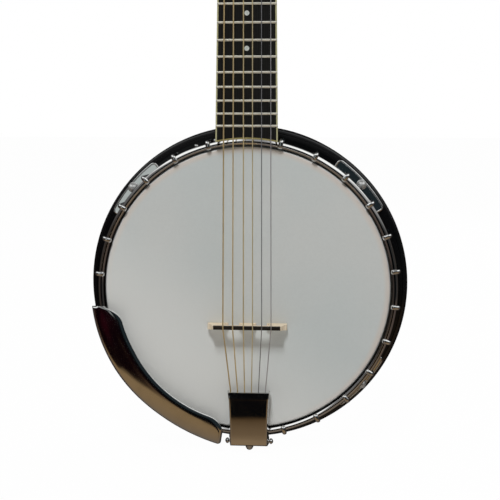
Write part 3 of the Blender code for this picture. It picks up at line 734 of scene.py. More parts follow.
PLAIN_WIRE = chrome("plain_string_steel", tint=(0.42, 0.42, 0.45), rough=0.18, wobble=0.0,
                    metal=0.70)
PLAIN_FIRST = chrome("first_string_steel", tint=(0.60, 0.58, 0.61), rough=0.30, wobble=0.0,
                     metal=0.70)
WOUND = {6: wound("wound_string_6", (0.80, 0.60, 0.31), pitch=0.00040),
         5: wound("wound_string_5", (0.90, 0.70, 0.38), pitch=0.00036),
         4: wound("wound_string_4", (0.90, 0.72, 0.40), pitch=0.00032),
         3: wound("wound_string_3", (0.88, 0.74, 0.45), pitch=0.00028)}


# ---------------------------------------------------------------- pot; profiles are (radius, depth)
def rim():
    profile = fillet([(RIM_IN, 2.6), (130.4, 0.9), (RIM_OUT, 0.9), (RIM_OUT, 62.0),
                      (RIM_IN, 62.0)], [0.6, 1.0, 2.0, 0.6, 0.6])
    shell = lathe("rim_shell", profile, CAST, slot="cast_aluminium", replaces="rim")
    carve(shell, [drill(ROD_HOLE_R, -140, 140, place(0, HEAD_Y + ROD_DEPTH, 0), "Z")])


def flange():
    profile = fillet([(134.7, 27.7), (146.6, 27.7), (149.95, 28.25), (149.95, 31.6),
                      (134.7, 31.6)], [0.0, 5.0, 0.3, 0.5, 0.0], 4)
    ring = lathe("rim_flange", profile, FLANGE, 240, slot="black_resonator")
    front, back = HEAD_Y + 24, HEAD_Y + 35
    holes = [drill(2.45, front, back, turn(station(k)) @ place(0, 0, HOOK_R))
             for k in range(1, 26)]
    holes += [drill(2.7, front, back, turn(angle) @ place(0, 0, THUMB_R))
              for angle in THUMB_ANGLES]
    holes.append(block((-24.5, front, 134.0), (24.5, back, 160)))
    carve(ring, [joined("cut", holes)])


def head():
    top = [(0, 0)] + [(r, 0) for r in range(15, 131, 5)]
    under = [(r, 0.75) for r in range(130, 14, -5)] + [(0, 0.75)]
    crown = fillet([(130.5, 0), (135.75, 0), (135.75, 9.8)], [0, 3.4, 0], 9, closed=False)
    inside = fillet([(135.0, 9.8), (135.0, 0.75), (130.5, 0.75)], [0, 2.7, 0], 6, closed=False)
    profile = top + crown[1:-1] + [(135.75, 9.7), (135.0, 9.7)] + inside[1:-1] + under
    lathe("head_film", profile, FILM, 256, slot="frosted_head", replaces="head")


def hoops():
    lathe("flesh_hoop", fillet([(134.9, 9.4), (140.0, 9.4), (140.0, 13.3), (134.9, 13.3)], 0.7, 4),
          CAST, slot="cast_aluminium")
    corners = [(137.3, 9.0), (137.3, -0.66), (138.75, HOOP_TOP + 0.02), (139.0, HOOP_TOP + 0.1),
               (139.1, 0.7), (140.05, 0.8), (140.3, -0.30), (142.1, 0.52), (HOOP_OUT, 1.2),
               (HOOP_OUT, 9.0)]
    radii = [0.5, 0.2, 0.22, 0.08, 0.2, 0.2, 0.15, 0.4, 0.3, 0.5]
    lathe("stretcher_hoop", fillet(corners, radii, 6), HOOP, 384, smooth=50, slot="chrome",
          replaces="tension_hoop")


def resonator():
    outer = fillet([(0, 96.0), (60.0, 96.0), (102, 91.6), (142, 83.0), (152.2, 75.5), (154.9, 62),
                    (RES_R, 40), (RES_R, 31.2), (153.5, 28.95), (150.15, 28.05), (150.15, 30.0)],
                   [0, 30, 40, 25, 12, 12, 20, 2.2, 2.6, 0.3, 0], 6, closed=False)
    inner = fillet([(150.3, 31), (149.2, 64), (146.4, 73.5), (139.5, 78.9), (101, 87.0),
                    (60, 91.3), (0, 91.3)], [0, 12, 6, 10, 20, 20, 0], 4, closed=False)
    bowl = lathe("resonator_bowl", outer + inner, BLACK, 256, smooth=28, slot="black_resonator",
                 replaces="resonator")
    gap = fillet([(-24.0, HEAD_Y + 20), (24.0, HEAD_Y + 20), (24.0, HEAD_Y + 50.5),
                  (-24.0, HEAD_Y + 50.5)], [0, 0, 7, 7], 8)
    carve(bowl, [loft("cut", [[(x, y, z) for x, y in gap] for z in (140, 162)], BLACK,
                      body=None)], smooth=28)
    lug = fillet([(-8, 141.4), (8, 141.4), (8, 150.2), (-8, 150.2)], 1.5, 4)
    for i, angle in enumerate(THUMB_ANGLES):
        hole = drill(2.7, HEAD_Y + 33, HEAD_Y + 54, turn(angle) @ place(0, 0, THUMB_R))
        prism(f"resonator_lug_{i + 1}", lug, HEAD_Y + 33.5, HEAD_Y + 58, BLACK, turn(angle),
              slot="black_resonator", cuts=[hole])


# ---------------------------------------------------------------- bracket hooks
def hook_mesh():
    """A hook with its nut and washer, at pot angle 0."""
    bend = fillet([(137.7, -2.5), (138.6, -3.5), (HOOK_R, -3.5), (HOOK_R, 43.0)],
                  [0, 0.9, 2.3, 0], 8, closed=False)
    bend = [point for point in bend if point[1] < 0]
    points, sizes = [], []            # (radius, depth) and (half width, half thickness)
    tip = Vector(bend[0])
    direction = (Vector(bend[1]) - tip).normalized()
    for back, f in ((-1.15, 0.12), (-1.05, 0.42), (-0.8, 0.68), (-0.4, 0.90)):
        points.append(tuple(tip + direction * back))
        sizes.append((2.25 * f, 1.45 * f))
    for i, point in enumerate(bend):
        f = i / (len(bend) - 1.0)
        points.append(point)
        sizes.append((2.3 - 0.3 * f ** 3, 1.4 + 0.35 * f ** 2))
    points += [(HOOK_R, depth) for depth in (0.5, 8.0, 18.0, 28.0)]
    sizes += [(1.9, 1.75)] * 4
    screw = thread(29.0, 42.4, ((0.0, 1.8), (0.25, 1.8), (0.4, 1.5), (0.6, 1.5)))
    for depth, size in screw + [(42.7, 1.8), (43.0, 1.3)]:
        points.append((HOOK_R, depth))
        sizes.append((size, size))
    rings = []
    for i, (radius, depth) in enumerate(points):
        before = Vector(points[max(i - 1, 0)])
        after = Vector(points[min(i + 1, len(points) - 1)])
        tangent = (after - before).normalized()
        normal = Vector((-tangent.y, tangent.x))
        wide, thick = sizes[i]
        rings.append([(wide * c, HEAD_Y + depth + normal.y * thick * s,
                       radius + normal.x * thick * s) for c, s in circle(20)])
    at = place(0, HEAD_Y, HOOK_R)
    shank = loft("hook_source", rings, CHROME, smooth=45, body=None)
    nut = rod("nut_source", NUT_STATIONS, CHROME, seg=6, matrix=at, smooth=20, body=None)
    washer = rod("washer_source", [(31.75, 4.0), (31.85, 4.6), (31.98, 4.6), (31.99, 4.0)],
                 CHROME, matrix=at, body=None)
    whole = joined("hook_all", [shank, nut, washer])
    mesh = whole.data
    mesh.materials.append(CHROME)
    shade(mesh, 40)
    bpy.data.objects.remove(whole, do_unlink=True)
    return mesh


def hooks():
    """Hooks all round but at the neck and the tailpiece, one mesh for all."""
    mesh = hook_mesh()
    clamping = {side * k for side in (1, -1) for pair in CLAMPS for k in pair}
    number = clamp_number = 0
    for k in list(range(1, 13)) + list(range(-12, 0)):
        if k in clamping:
            clamp_number += 1
            name, stands_for = f"clamp_hook_{clamp_number}", None
        else:
            number += 1
            name, stands_for = f"hook_{number:02d}", f"bracket_hook_{number:02d}"
        hook = bpy.data.objects.new(name, mesh)
        SCENE.collection.objects.link(hook)
        hook.matrix_world = turn(station(k))
        dress(hook, ROOT, stands_for)


def rivets():
    for i, (radius, angle) in enumerate(RIVETS):
        rod(f"flange_rivet_{i + 1}",
            [(27.75, 2.2), (27.3, 2.2), (26.7, 1.95), (26.2, 1.45), (25.95, 0.8)], CHROME, seg=28,
            matrix=turn(angle) @ place(0, HEAD_Y, radius), slot="chrome")


# ---------------------------------------------------------------- flange plates and thumbscrews
PLATE_IN, PLATE_OUT = 139.6, 151.5
PLATE_HALF = 12.4                     # half its spread, in degrees
PLATE_CORNER = 4.2
# Front edge, roll and dished top: (inset, depth)
PLATE_LAYERS = ((0.0, 27.3), (0.0, 26.6), (0.15, 26.2), (0.5, 25.9), (0.9, 25.78), (1.3, 25.86),
                (1.65, 26.08), (1.8, 26.38))


def plate_ring(steps=28):
    """Closed outline (angle, radius) of the arc-shaped plate, its outer corners rounded."""
    half, corner = PLATE_HALF, math.degrees(PLATE_CORNER / PLATE_OUT)
    shoulder = PLATE_OUT - PLATE_CORNER
    middle = (PLATE_IN + shoulder) / 2
    turns = [math.pi / 2 * i / 8 for i in range(1, 8)]
    points = [(-half + corner + (2 * half - 2 * corner) * i / steps, PLATE_OUT)
              for i in range(steps + 1)]
    points += [(half - corner + corner * math.sin(f), shoulder + PLATE_CORNER * math.cos(f))
               for f in turns]
    points += [(half, shoulder), (half, middle)]
    points += [(half - 2 * half * i / steps, PLATE_IN) for i in range(steps + 1)]
    points += [(-half, middle), (-half, shoulder)]
    points += [(-half + corner - corner * math.cos(f), shoulder + PLATE_CORNER * math.sin(f))
               for f in turns]
    return points


def inset(outline, amount):
    """The (angle, radius) outline as x, z points moved inwards; it runs clockwise in front view."""
    flat = [Vector((r * math.sin(math.radians(a)), r * math.cos(math.radians(a))))
            for a, r in outline]
    out = []
    for i, point in enumerate(flat):
        back = (point - flat[i - 1]).normalized()
        ahead = (flat[(i + 1) % len(flat)] - point).normalized()
        edge_normal = Vector((back.y, -back.x))
        normal = (edge_normal + Vector((ahead.y, -ahead.x))).normalized()
        out.append(point + normal * amount * (1.0 / max(0.5, normal.dot(edge_normal))))
    return out


def thumbscrew(name):
    """Ball, knurled collar and threaded shank; stations are (depth, radius)."""
    ball = [(14.98 + 4.42 * (1 - math.cos(f)), 4.42 * math.sin(f))
            for f in (math.radians(a) for a in range(6, 144, 8))]
    neck_in = [(22.62, 2.75), (22.75, 3.1), (22.9, 4.6), (23.15, 4.95)]
    rings = rod_rings(ball + neck_in, seg=48)
    rings += rod_rings([(23.25, 5.0), (25.0, 5.0)], seg=48, notch=0.22)
    shank = [(25.15, 4.8), (25.3, 4.3), (25.35, 2.1), (33.0, 2.1)]
    shank += thread(33.0, 51.8, ((0.05, 2.1), (0.3, 2.1), (0.45, 1.78), (0.65, 1.78)))
    rings += rod_rings(shank + [(52.2, 1.8), (52.5, 1.2)], seg=48)
    at = joint_place(f"thumbscrew_{name}_turn")
    loft(f"thumbscrew_{name}_ball", rings, SATIN, place(at.x, HEAD_Y, at.z), smooth=38,
         body=f"thumbscrew_{name}_body", slot="chrome", replaces="thumbscrew_" + name)


def flange_plates():
    outline = plate_ring()
    rings = [[(p.x, HEAD_Y + depth, p.y) for p in inset(outline, amount)]
             for amount, depth in PLATE_LAYERS]
    for name, angle in zip(CORNERS, THUMB_ANGLES):
        hole = drill(2.6, HEAD_Y + 24, HEAD_Y + 29, turn(angle) @ place(0, 0, THUMB_R), seg=32)
        loft("plate_" + name, rings, PLATE, turn(angle), smooth=32, slot="chrome",
             replaces="flange_plate_" + name, cuts=[hole], cut_smooth=32)
        thumbscrew(name)


# ---------------------------------------------------------------- armrest, on the bass side
# Its angles are degrees from +Z towards -X.
ARM_START, ARM_END = 96.2, 170.6
ARM_EDGE_ROLL, ARM_TIP_ROLL = 3.0, 1.1
# Distances from an end, and from a long edge, where rows and columns of points lie
ARM_END_ROWS = (0.0, 0.10, 0.26, 0.5, 0.85, 1.3, 1.9, 2.6)
ARM_EDGE_COLS = (0.0, 0.06, 0.2, 0.42, 0.75, 1.15, 1.65, 2.3, 3.1)
ARM_ROWS = 110


def quarter(amount):
    """Quarter-circle rise from 0 at 0 to 1 at 1, and flat outside."""
    return 1 - math.sqrt(max(0.0, 1 - max(0.0, amount) ** 2))


def edge_roll(distance, radius):
    """Drop of a rounded edge at a distance from it."""
    return radius - math.sqrt(max(0.0, radius ** 2 - (radius - min(distance, radius)) ** 2))


def arm_in(angle):
    return (122.1 + max(0.0, angle - 118.0) * 0.1 + 25.0 * quarter((104.7 - angle) / 8.6)
            + 15.0 * quarter((angle - 163.4) / 7.5))


def arm_out(angle):
    return (148.3 + max(0.0, (angle - 138.0) / 32.0) ** 2 * 5.0
            - 3.4 * quarter((angle - 169.1) / 1.5))


def around(radius, angle):
    return Vector((radius * math.sin(math.radians(angle)), radius * math.cos(math.radians(angle))))


def edge_distance(point, edge):
    """Distance from a point to a line of points."""
    best = 1e9
    for a, b in zip(edge, edge[1:]):
        side = b - a
        square = side.length_squared
        f = 0.0 if square < 1e-12 else max(0.0, min(1.0, (point - a).dot(side) / square))
        best = min(best, (point - a - side * f).length)
        if best < 1e-6:
            return 0.0
    return best


def armrest():
    first, last = ARM_START + 3.4 / 2.53, ARM_END - 3.4 / 2.6
    angles = [ARM_START + e / 2.5 for e in ARM_END_ROWS]
    angles += [first + (last - first) * (i / ARM_ROWS) for i in range(ARM_ROWS + 1)]
    angles += [ARM_END - e / 2.6 for e in reversed(ARM_END_ROWS)]
    inner = [around(arm_in(a), a) for a in angles]
    # the outer edge, with both ends
    outer = [inner[-1]] + [around(arm_out(a), a) for a in reversed(angles)] + [inner[0]]
    verts, faces = [], []
    for a in angles:
        start = arm_in(a)
        width = arm_out(a) - start
        narrow = min(1.0, width / 9.0)
        across = [e * narrow for e in ARM_EDGE_COLS]
        across += [3.1 * narrow + (width - 6.2 * narrow) * i / 12 for i in range(1, 12)]
        across += [width - e * narrow for e in reversed(ARM_EDGE_COLS)]
        # how far the angle is into the start's tip, and into the broad body
        tip = max(0.0, min(1.0, (102.0 - a) / 4.0))
        body = max(0.0, min(1.0, (a - 122.0) / 24.0))
        for u in across:
            point = around(start + u, a)
            roll = edge_roll(edge_distance(point, outer), ARM_EDGE_ROLL)
            gap = edge_distance(point, inner)
            soft = 0.17 * max(0.0, 1 - gap / 4.2) ** 2 * 4.2 + 0.12 * max(0.0, 1 - gap / 0.4) ** 2
            roll = max(roll, edge_roll(gap, ARM_TIP_ROLL) * tip + soft * (1 - tip))
            crown = (-9.95 + (1.5 + 2.1 * body) * (u / width - 0.30 + 0.06 * body) ** 2
                     + 0.9 * (1 - narrow))
            verts.append(pot(start + u, -a, crown + roll))
    cols = len(across)
    for i in range(0, (len(angles) - 1) * cols, cols):
        faces += [(i + j, i + j + 1, i + cols + j + 1, i + cols + j) for j in range(cols - 1)]
    bm = bmesh_of(verts, faces)
    bm.normal_update()
    if sum(face.normal.y for face in bm.faces) > 0:
        bmesh.ops.reverse_faces(bm, faces=bm.faces)
    plate = object_of("armrest_plate", bm)
    plate.data.materials.append(CHROME_ARM)
    sheet = plate.modifiers.new("sheet", "SOLIDIFY")
    sheet.thickness = 1.1 * MM
    sheet.offset = -1.0
    settle(plate)
    shade(plate.data, 50)
    dress(plate, ROOT, "armrest")


def armrest_clips():
    leg = fillet([(143.3, -8.0), (145.0, -8.0), (145.0, 11.4), (140.3, 11.4), (140.3, 9.9),
                  (143.5, 9.9)], [0, 0, 1.4, 0.4, 0.4, 0.4], 4)
    screw = [(0, 1.2), (0.35, 2.3), (1.0, 2.7), (1.7, 2.7), (1.75, 1.5), (3.4, 1.5)]
    for i, angle in enumerate((118.5, 146.0)):
        clip = loft(f"armrest_clip_{i + 1}",
                    [[(x, HEAD_Y + depth, radius) for radius, depth in leg] for x in (-4.5, 4.5)],
                    CHROME, turn(-angle), smooth=30, slot="chrome")
        bevel(clip, 0.25)
        rod(f"armrest_screw_{i + 1}", screw, CHROME, axis="Z", seg=28, slot="chrome",
            matrix=turn(-angle) @ place(0, HEAD_Y + 5.0, 147.9) @ turn(180, "X"))


# ---------------------------------------------------------------- tailpiece
# Cover sections from the pin: (z, half width in front, half width at the back, front y, back y)
COVER_T = 1.1
COVER_SECTIONS = (
    (52.4, 19.9, 20.3, -13.0, -9.9), (52.35, 19.9, 20.3, -13.6, -8.6),
    (52.15, 19.9, 20.3, -13.9, -6.0), (51.9, 19.9, 20.3, -13.98, -4.6),
    (51.3, 19.85, 20.3, -14.02, -4.1), (50.2, 19.75, 20.25, -14.08, -4.1),
    (48.4, 19.55, 20.1, -14.22, -4.1), (47.0, 19.35, 20.0, -14.40, -4.1),
    (46.4, 19.2, 19.9, -14.45, -4.1), (45.9, 19.1, 19.85, -14.44, -4.1),
    (45.2, 18.95, 19.8, -14.36, -4.1), (44.6, 18.85, 19.75, -14.32, -4.1),
    (43.8, 18.8, 19.7, -14.31, -4.1), (41, 18.6, 19.6, -14.29, -4.1),
    (36, 18.4, 19.4, -14.2, -4.1), (31, 18.2, 19.25, -14.0, -4.1),
    (27, 18.0, 19.15, -13.72, -4.1), (23, 17.85, 19.05, -13.3, -4.1),
    (17, 17.75, 19.0, -12.55, -4.1), (10, 17.8, 19.15, -11.55, -4.1),
    (6.0, 17.9, 19.25, -10.95, -4.1), (3.6, 17.95, 19.35, -10.5, 2.8),
    (1.5, 18.0, 19.4, -10.05, 2.8), (-0.2, 18.0, 19.4, -9.5, 2.8),
    (-1.6, 17.95, 19.35, -8.6, 2.75), (-2.5, 17.9, 19.3, -7.4, 2.6),
    (-3.0, 17.85, 19.25, -6.2, 2.2))
# One end of the pin: (x, radius)
PIN_END = [(19.75, 1.5), (20.0, 2.2), (20.5, 2.6), (21.2, 2.75), (22.0, 2.5), (22.7, 1.9),
           (23.15, 1.1), (23.3, 0.5)]


def cover_side(front_half, back_half, front, back, fold, flat_half):
    """One face of the folded sheet: a side wall, the flat front and the other wall."""
    line = fillet([(-back_half, back), (-front_half, front), (front_half, front),
                   (back_half, back)], [0, fold, fold, 0], closed=False)
    half = len(line) // 2
    across = [(u * flat_half, front) for u in (-1.0, -0.92, -0.6, 0.0, 0.6, 0.92, 1.0)]
    return line[:half] + across + line[half:]


def tail_cover():
    rings = []
    for z, wide, back_wide, front, back in COVER_SECTIONS:
        outer = cover_side(wide, back_wide, front, back, 1.0, wide - 1.3)
        inner = cover_side(wide - COVER_T, back_wide - COVER_T, front + COVER_T, back, 0.8,
                           wide - 2.6)
        rings.append([(x, y, z) for x, y in outer + inner[::-1]])
    at = place(*PIN)
    loft("tail_cover_shell", rings, CHROME_TAIL, at, smooth=38, body="tail_cover", slot="chrome",
         replaces="tailpiece_cover", cuts=[drill(1.9, -22, 22, at, "X")], cut_smooth=38)
    rod("tail_pin", [(-x, radius) for x, radius in reversed(PIN_END)] + PIN_END, CHROME, axis="X",
        matrix=at, slot="chrome", replaces="tailpiece_pin")


def tail_knob():
    """Domed, knurled knob on a threaded shank; stations are (z, radius)."""
    dome = [(-10.8, 0.6), (-10.65, 1.5), (-10.2, 2.3), (-9.4, 3.0), (-8.3, 3.55), (-7.2, 3.95),
            (-6.3, 4.25), (-5.8, 4.4)]
    rings = rod_rings(dome, "Z", 36)
    rings += rod_rings([(-5.6, 4.4), (-2.9, 4.4)], "Z", 36, notch=0.25)
    shank = [(-2.6, 4.3), (-2.35, 4.0), (-2.3, 2.0), (-1.6, 2.0)]
    shank += thread(-1.5, 4.6, ((0, 2.0), (0.3, 2.0), (0.42, 1.7), (0.62, 1.7)))
    rings += rod_rings(shank + [(5.3, 1.8), (5.6, 1.3)], "Z", 36)
    loft("tail_screw_knob", rings, CHROME, place(*KNOB), smooth=40, body="tail_screw",
         slot="chrome", replaces="tailpiece_screw")


def side_plate(name, outline, ends, matrix=None, **kw):
    """A (depth or y, z) outline carried along x; depths are turned into y by the caller."""
    return loft(name, [[(x, y, z) for y, z in outline] for x in ends], CHROME, matrix,
                smooth=30, slot="chrome", **kw)


def tail_base():
    low, high = TAIL_X - 14, TAIL_X + 14
    outline = fillet([(low, -146.4), (low, -101), (high, -101), (high, -146.4)], [1, 2, 2, 1], 4)
    plate = prism("tail_base_plate", outline, HEAD_Y - 5.6, HEAD_Y - 4.2, CHROME, smooth=30,
                  slot="chrome", replaces="tailpiece_base")
    bevel(plate, 0.25)
    leg = fillet([(-146.5, -5.6), (-146.5, 27.5), (-144.6, 27.5), (-144.6, -4.2)],
                 [1.2, 0.3, 0.3, 0.3], 4)
    leg = side_plate("tail_base_leg", [(HEAD_Y + depth, z) for z, depth in leg],
                     (TAIL_X - 7, TAIL_X + 7),
                     cuts=[drill(2.5, -150, -142, place(KNOB.x, KNOB.y, 0), "Z")])
    bevel(leg, 0.2)
    at = place(TAIL_X, HEAD_Y, STUD_Z)
    rod("tail_base_stud", [(23.6, 1.6), (24, 2.0), (42.6, 2.0), (43, 1.5)], CHROME, seg=24,
        matrix=at, slot="chrome")
    rod("tail_base_nut", NUT_STATIONS, CHROME, seg=6, matrix=at @ turn(30), smooth=20,
        slot="chrome")
    # comb that catches the strings' ball ends
    teeth = [(TAIL_X - 13, -5.2), (TAIL_X - 13, -8.9)]
    for x in reversed(STRING_X_TAIL):
        teeth += [(x - 0.9, -9.3), (x - 0.75, -7.4), (x + 0.75, -7.4), (x + 0.9, -9.3)]
    teeth += [(TAIL_X + 13, -8.9), (TAIL_X + 13, -5.2)]
    loft("tail_base_comb", [[(x, HEAD_Y + depth, z) for x, depth in teeth]
                            for z in (-103.7, -102.3)], CHROME, smooth=20, slot="chrome")
    ear = fillet([(-144.8, -4.7), (-151.2, -4.0), (-152.2, 1.0), (-150.5, 3.8), (-144.8, 3.6)],
                 [0.3, 1.5, 2.5, 1.5, 0.3], 4)
    for side, letter in ((-1, "l"), (1, "r")):
        x = TAIL_X + side * 13.2
        side_plate("tail_base_ear_" + letter, [(HEAD_Y + depth, z) for z, depth in ear],
                   (x - 0.75, x + 0.75),
                   cuts=[drill(1.8, x - 3, x + 3, place(0, PIN.y, PIN.z), "X")])


# ---------------------------------------------------------------- bridge; outlines are (x, height)
def bridge_arch(left, right):
    """Opening between two feet: upright at the foot, then wider than the gap, then a crown."""
    side = ((0, 0.25), (0, 2.3), (2.0, 3.6), (3.3, 5.4), (3.4, 7.4), (2.2, 9.4), (-0.6, 10.8))
    points = [(left - out, height) for out, height in side]
    points += [((left + right) / 2, 11.3)]
    points += [(right + out, height) for out, height in reversed(side)]
    return fillet(points, [0, 1.2] + [3.0] * 11 + [1.2, 0], 4, closed=False)


def bridge_face(side, height, off=0.0):
    """z of the upright neck side (1) or the leaning tail side (-1) at a height."""
    if side > 0:
        return BRIDGE_Z + 0.6 - 0.1 * height / BRIDGE_H - off
    return BRIDGE_Z - 6.0 + 2.85 * height / BRIDGE_H + off


def bridge_part(name, outline, mat, off=0.0, **kw):
    return loft(name, [[(x, HEAD_Y - h, bridge_face(side, h, off)) for x, h in outline]
                       for side in (-1, 1)], mat, smooth=25, **kw)


def bridge():
    mid, low, high, top = BRIDGE_X, BRIDGE_LO.x, BRIDGE_HI.x, 12.55
    feet = (mid - 18.3, mid - 8.0, mid + 8.3, mid + 18.4)
    right = fillet([(high, 0.8), (high, 5.6), (mid + 34.0, 8.2), (mid + 32.6, 14.2),
                    (mid + 31.6, 14.9)], [0, 0.8, 4.0, 0.8, 0], closed=False)
    outline = [(low + 0.2, 0.25)] + bridge_arch(*feet[:2]) + bridge_arch(*feet[2:])
    outline += [(high - 0.2, 0.25)] + right
    outline += [(x, top) for x in (mid + 31.6, feet[2], feet[1], mid - 31.6)]
    outline += mirrored(right, mid)
    body = bridge_part("bridge_body", outline, MAPLE, slot="maple_bridge", replaces="bridge")
    bevel(body, 0.2, angle=40)
    # ebony strip with a notch for each string
    outline = [(mid + 31.5, top + 0.02), (mid + 31.5, BRIDGE_H - 0.05)]
    for x, r in zip(STRING_X_BRIDGE, STRING_R):
        outline += [(x + r + 0.35, BRIDGE_H), (x + r * 0.8, BRIDGE_H - r * 0.9),
                    (x, BRIDGE_H - r * 1.25), (x - r * 0.8, BRIDGE_H - r * 0.9),
                    (x - r - 0.35, BRIDGE_H)]
    outline += [(mid - 31.5, BRIDGE_H - 0.05), (mid - 31.5, top + 0.02)]
    bevel(bridge_part("bridge_ebony", outline, EBONY, 0.1, slot="fretboard"), 0.15, angle=40)


# ---------------------------------------------------------------- strings
POST_TURN_Y = -5.4                    # where the strings meet their posts
COIL_TURNS, COIL_STEPS = 3.3, 90
BALL_END = [(-1.9, 0.8), (-1.75, 1.55), (-1.5, 1.7), (-0.9, 1.3), (0.9, 1.3), (1.5, 1.7),
            (1.75, 1.55), (1.9, 0.8)]   # (x, radius)


def through(matrix, x, y, z):
    return matrix @ (Vector((x, y, z)) * MM) / MM


def near(start, end, distance):
    return start + (end - start).normalized() * distance


def string_path(i, radius, side, post_z):
    """Tailpiece, bridge, nut, post."""
    x_tail, x_nut = STRING_X_TAIL[i], STRING_X_NUT[i]
    nut_in = through(NECK, x_nut, -2.02, NUT_Z + 0.2)
    nut_mid = through(NECK, x_nut, -2.0, NUT_Z + 1.4)
    nut_out = through(NECK, x_nut * 1.02, -1.75, NUT_Z + 5.2)
    post = through(PEG, side * (POST_X - 2.6 - radius - 0.1), POST_TURN_Y, post_z)
    crest = Vector((STRING_X_BRIDGE[i], HEAD_Y - 16.2, BRIDGE_Z - 1.5))
    tail = Vector((x_tail, HEAD_Y - 8.9, -98.0))
    path = [Vector((x_tail, HEAD_Y - 8.3, -103.9)), Vector((x_tail, HEAD_Y - 8.45, -101.6)), tail,
            near(crest, tail, 3.2), near(crest, tail, 1.6), crest + Vector((0, -0.02, -0.5)),
            crest + Vector((0, -0.03, 0.5)), near(crest, nut_in, 1.6), near(crest, nut_in, 3.2)]
    path += [crest + (nut_in - crest) * f for f in (0.2, 0.4, 0.6, 0.8)]
    return path + [nut_in, nut_mid, nut_out, nut_out + (post - nut_out) * 0.5, post]


def string_coil(radius, side, post_z):
    """Turns wound on the post."""
    coil, coil_r = [], 2.6 + radius + 0.05
    for k in range(COIL_STEPS + 1):
        f = k / COIL_STEPS
        a = (math.pi if side > 0 else 0.0) + side * 2 * math.pi * COIL_TURNS * f
        y = POST_TURN_Y - 0.2 + (2.05 * radius) * COIL_TURNS * f * 0.9 - 1.0
        coil.append(through(PEG, side * POST_X + coil_r * math.cos(a), y,
                            post_z + coil_r * math.sin(a)))
    return coil


def strings():
    for i, radius in enumerate(STRING_R):
        n = i + 1
        mat = PLAIN_FIRST if n == 1 else PLAIN_WIRE if n == 2 else WOUND[n]
        slot = "plain_steel" if n <= 2 else "bronze_wound"
        path = string_path(i, radius, *tuner_place(n))
        wire = loft(f"string_{n}_wire", sweep(path, radius, 14), mat, smooth=60, slot=slot,
                    replaces=f"string_{n}")
        wire.visible_shadow = False
        rod(f"string_{n}_ball", BALL_END, FRETWIRE, axis="X", seg=20, slot="plain_steel",
            matrix=place(STRING_X_TAIL[i], HEAD_Y - 8.2, -105.6))
        loft(f"string_{n}_turns", sweep(string_coil(radius, *tuner_place(n)), radius, 10),
             PLAIN_WIRE if n <= 2 else FRETWIRE, smooth=60, body=f"post_{n}", slot=slot)


# ---------------------------------------------------------------- fretboard, frets, dots, nut
def board():
    def half(z):
        return board_half(z) - BINDING_W

    across = [(-1 + 2 * i / 24) * half(-2) for i in range(25)]
    along = [20 + (NUT_Z - 0.4 - 20) * i / 12 for i in range(13)]
    outline = [(x, board_end(x) + BINDING_W) for x in across]
    outline += [(half(z), z) for z in along]
    outline += [(-half(z), z) for z in reversed(along)]
    prism("fretboard_body", outline, 0.0, BOARD_T, BOARD, NECK, smooth=30, slot="fretboard",
          replaces="fretboard")
    full = board_half(-2)
    for side, name in ((-1, "binding_bass"), (1, "binding_treble")):
        outline = [(side * full, board_end(full))]
        outline += [(side * board_half(z), z) for z in along]
        outline += [(side * half(z), z) for z in reversed(along)]
        outline.append((side * half(-2), board_end(half(-2))))
        bevel(prism(name, outline, -0.03, BOARD_T, BINDING, NECK, smooth=30, slot="bone_nut"),
              0.12)
    outline = [(x, board_end(x)) for x in across]
    outline += [(x, board_end(x) + BINDING_W - 0.02) for x in reversed(across)]
    bevel(prism("binding_end", outline, -0.04, BOARD_T, END_STRIP, NECK, smooth=30,
                slot="bone_nut"), 0.15)


def frets():
    """Domed wire with a tang below; the section is (z, y)."""
    section = [(1.1, -0.02)]
    section += [(1.1 * math.cos(f), -0.98 * math.sin(f) ** 0.8 - 0.02)
                for f in (math.pi * k / 12 for k in range(1, 12))]
    section += [(-1.1, -0.02), (-0.35, -0.02), (-0.3, 1.6), (0.3, 1.6), (0.35, -0.02)]
    ends = ((0, 0.15), (0.25, 0.6), (0.7, 0.95), (1.1, 1.0))   # (from the end, height factor)
    for n in range(1, FRETS + 1):
        z = fret_z(n)
        half = board_half(z) - 0.15
        stations = [(-half + e, f) for e, f in ends] + [(half - e, f) for e, f in reversed(ends)]
        rings = [[(x, y * f if y < 0 else y, z + dz) for dz, y in section] for x, f in stations]
        loft(f"fret_{n:02d}", rings, FRETWIRE, NECK, smooth=40, slot="chrome")


def dots():
    number = 0
    for n in DOT_FRETS:
        for x in ((-9.5, 9.5) if n == 12 else (0.0,)):
            number += 1
            rod(f"dot_{number}", [(-0.05, 1.9), (-0.03, 2.25), (0.6, 2.25)], PEARL, seg=40,
                matrix=NECK @ place(x, 0, dot_z(n)), slot="bone_nut")
    for n in DOT_FRETS:
        z = dot_z(n)
        rod(f"side_dot_{n}", [(-0.06, 0.8), (-0.04, 1.0), (0.5, 1.0)], COVER, axis="X", seg=20,
            matrix=NECK @ place(-board_half(z), 2.4, z), slot="black_cover")


def string_nut():
    notches = [(-21.7, 0.0)]          # (x, depth)
    for x, r in zip(reversed(STRING_X_NUT), reversed(STRING_R)):
        notches += [(x - r - 0.25, 0.0), (x - r * 0.7, r * 0.95), (x, r * 1.35),
                    (x + r * 0.7, r * 0.95), (x + r + 0.25, 0.0)]
    notches.append((21.7, 0.0))
    # top of the section: (y, z from the board's end)
    top = ((-2.0, 0.05), (-2.35, 0.6), (-2.3, 2.0), (-1.7, 3.9), (-1.0, 4.8))
    rings = [[(x, BOARD_T, NUT_Z + 0.05)] + [(x, y + depth, NUT_Z + dz) for y, dz in top]
             + [(x, BOARD_T, NUT_Z + 5.0)] for x, depth in notches]
    bevel(loft("nut_bone", rings, BONE, NECK, slot="bone_nut", replaces="string_nut"), 0.12,
          angle=45)


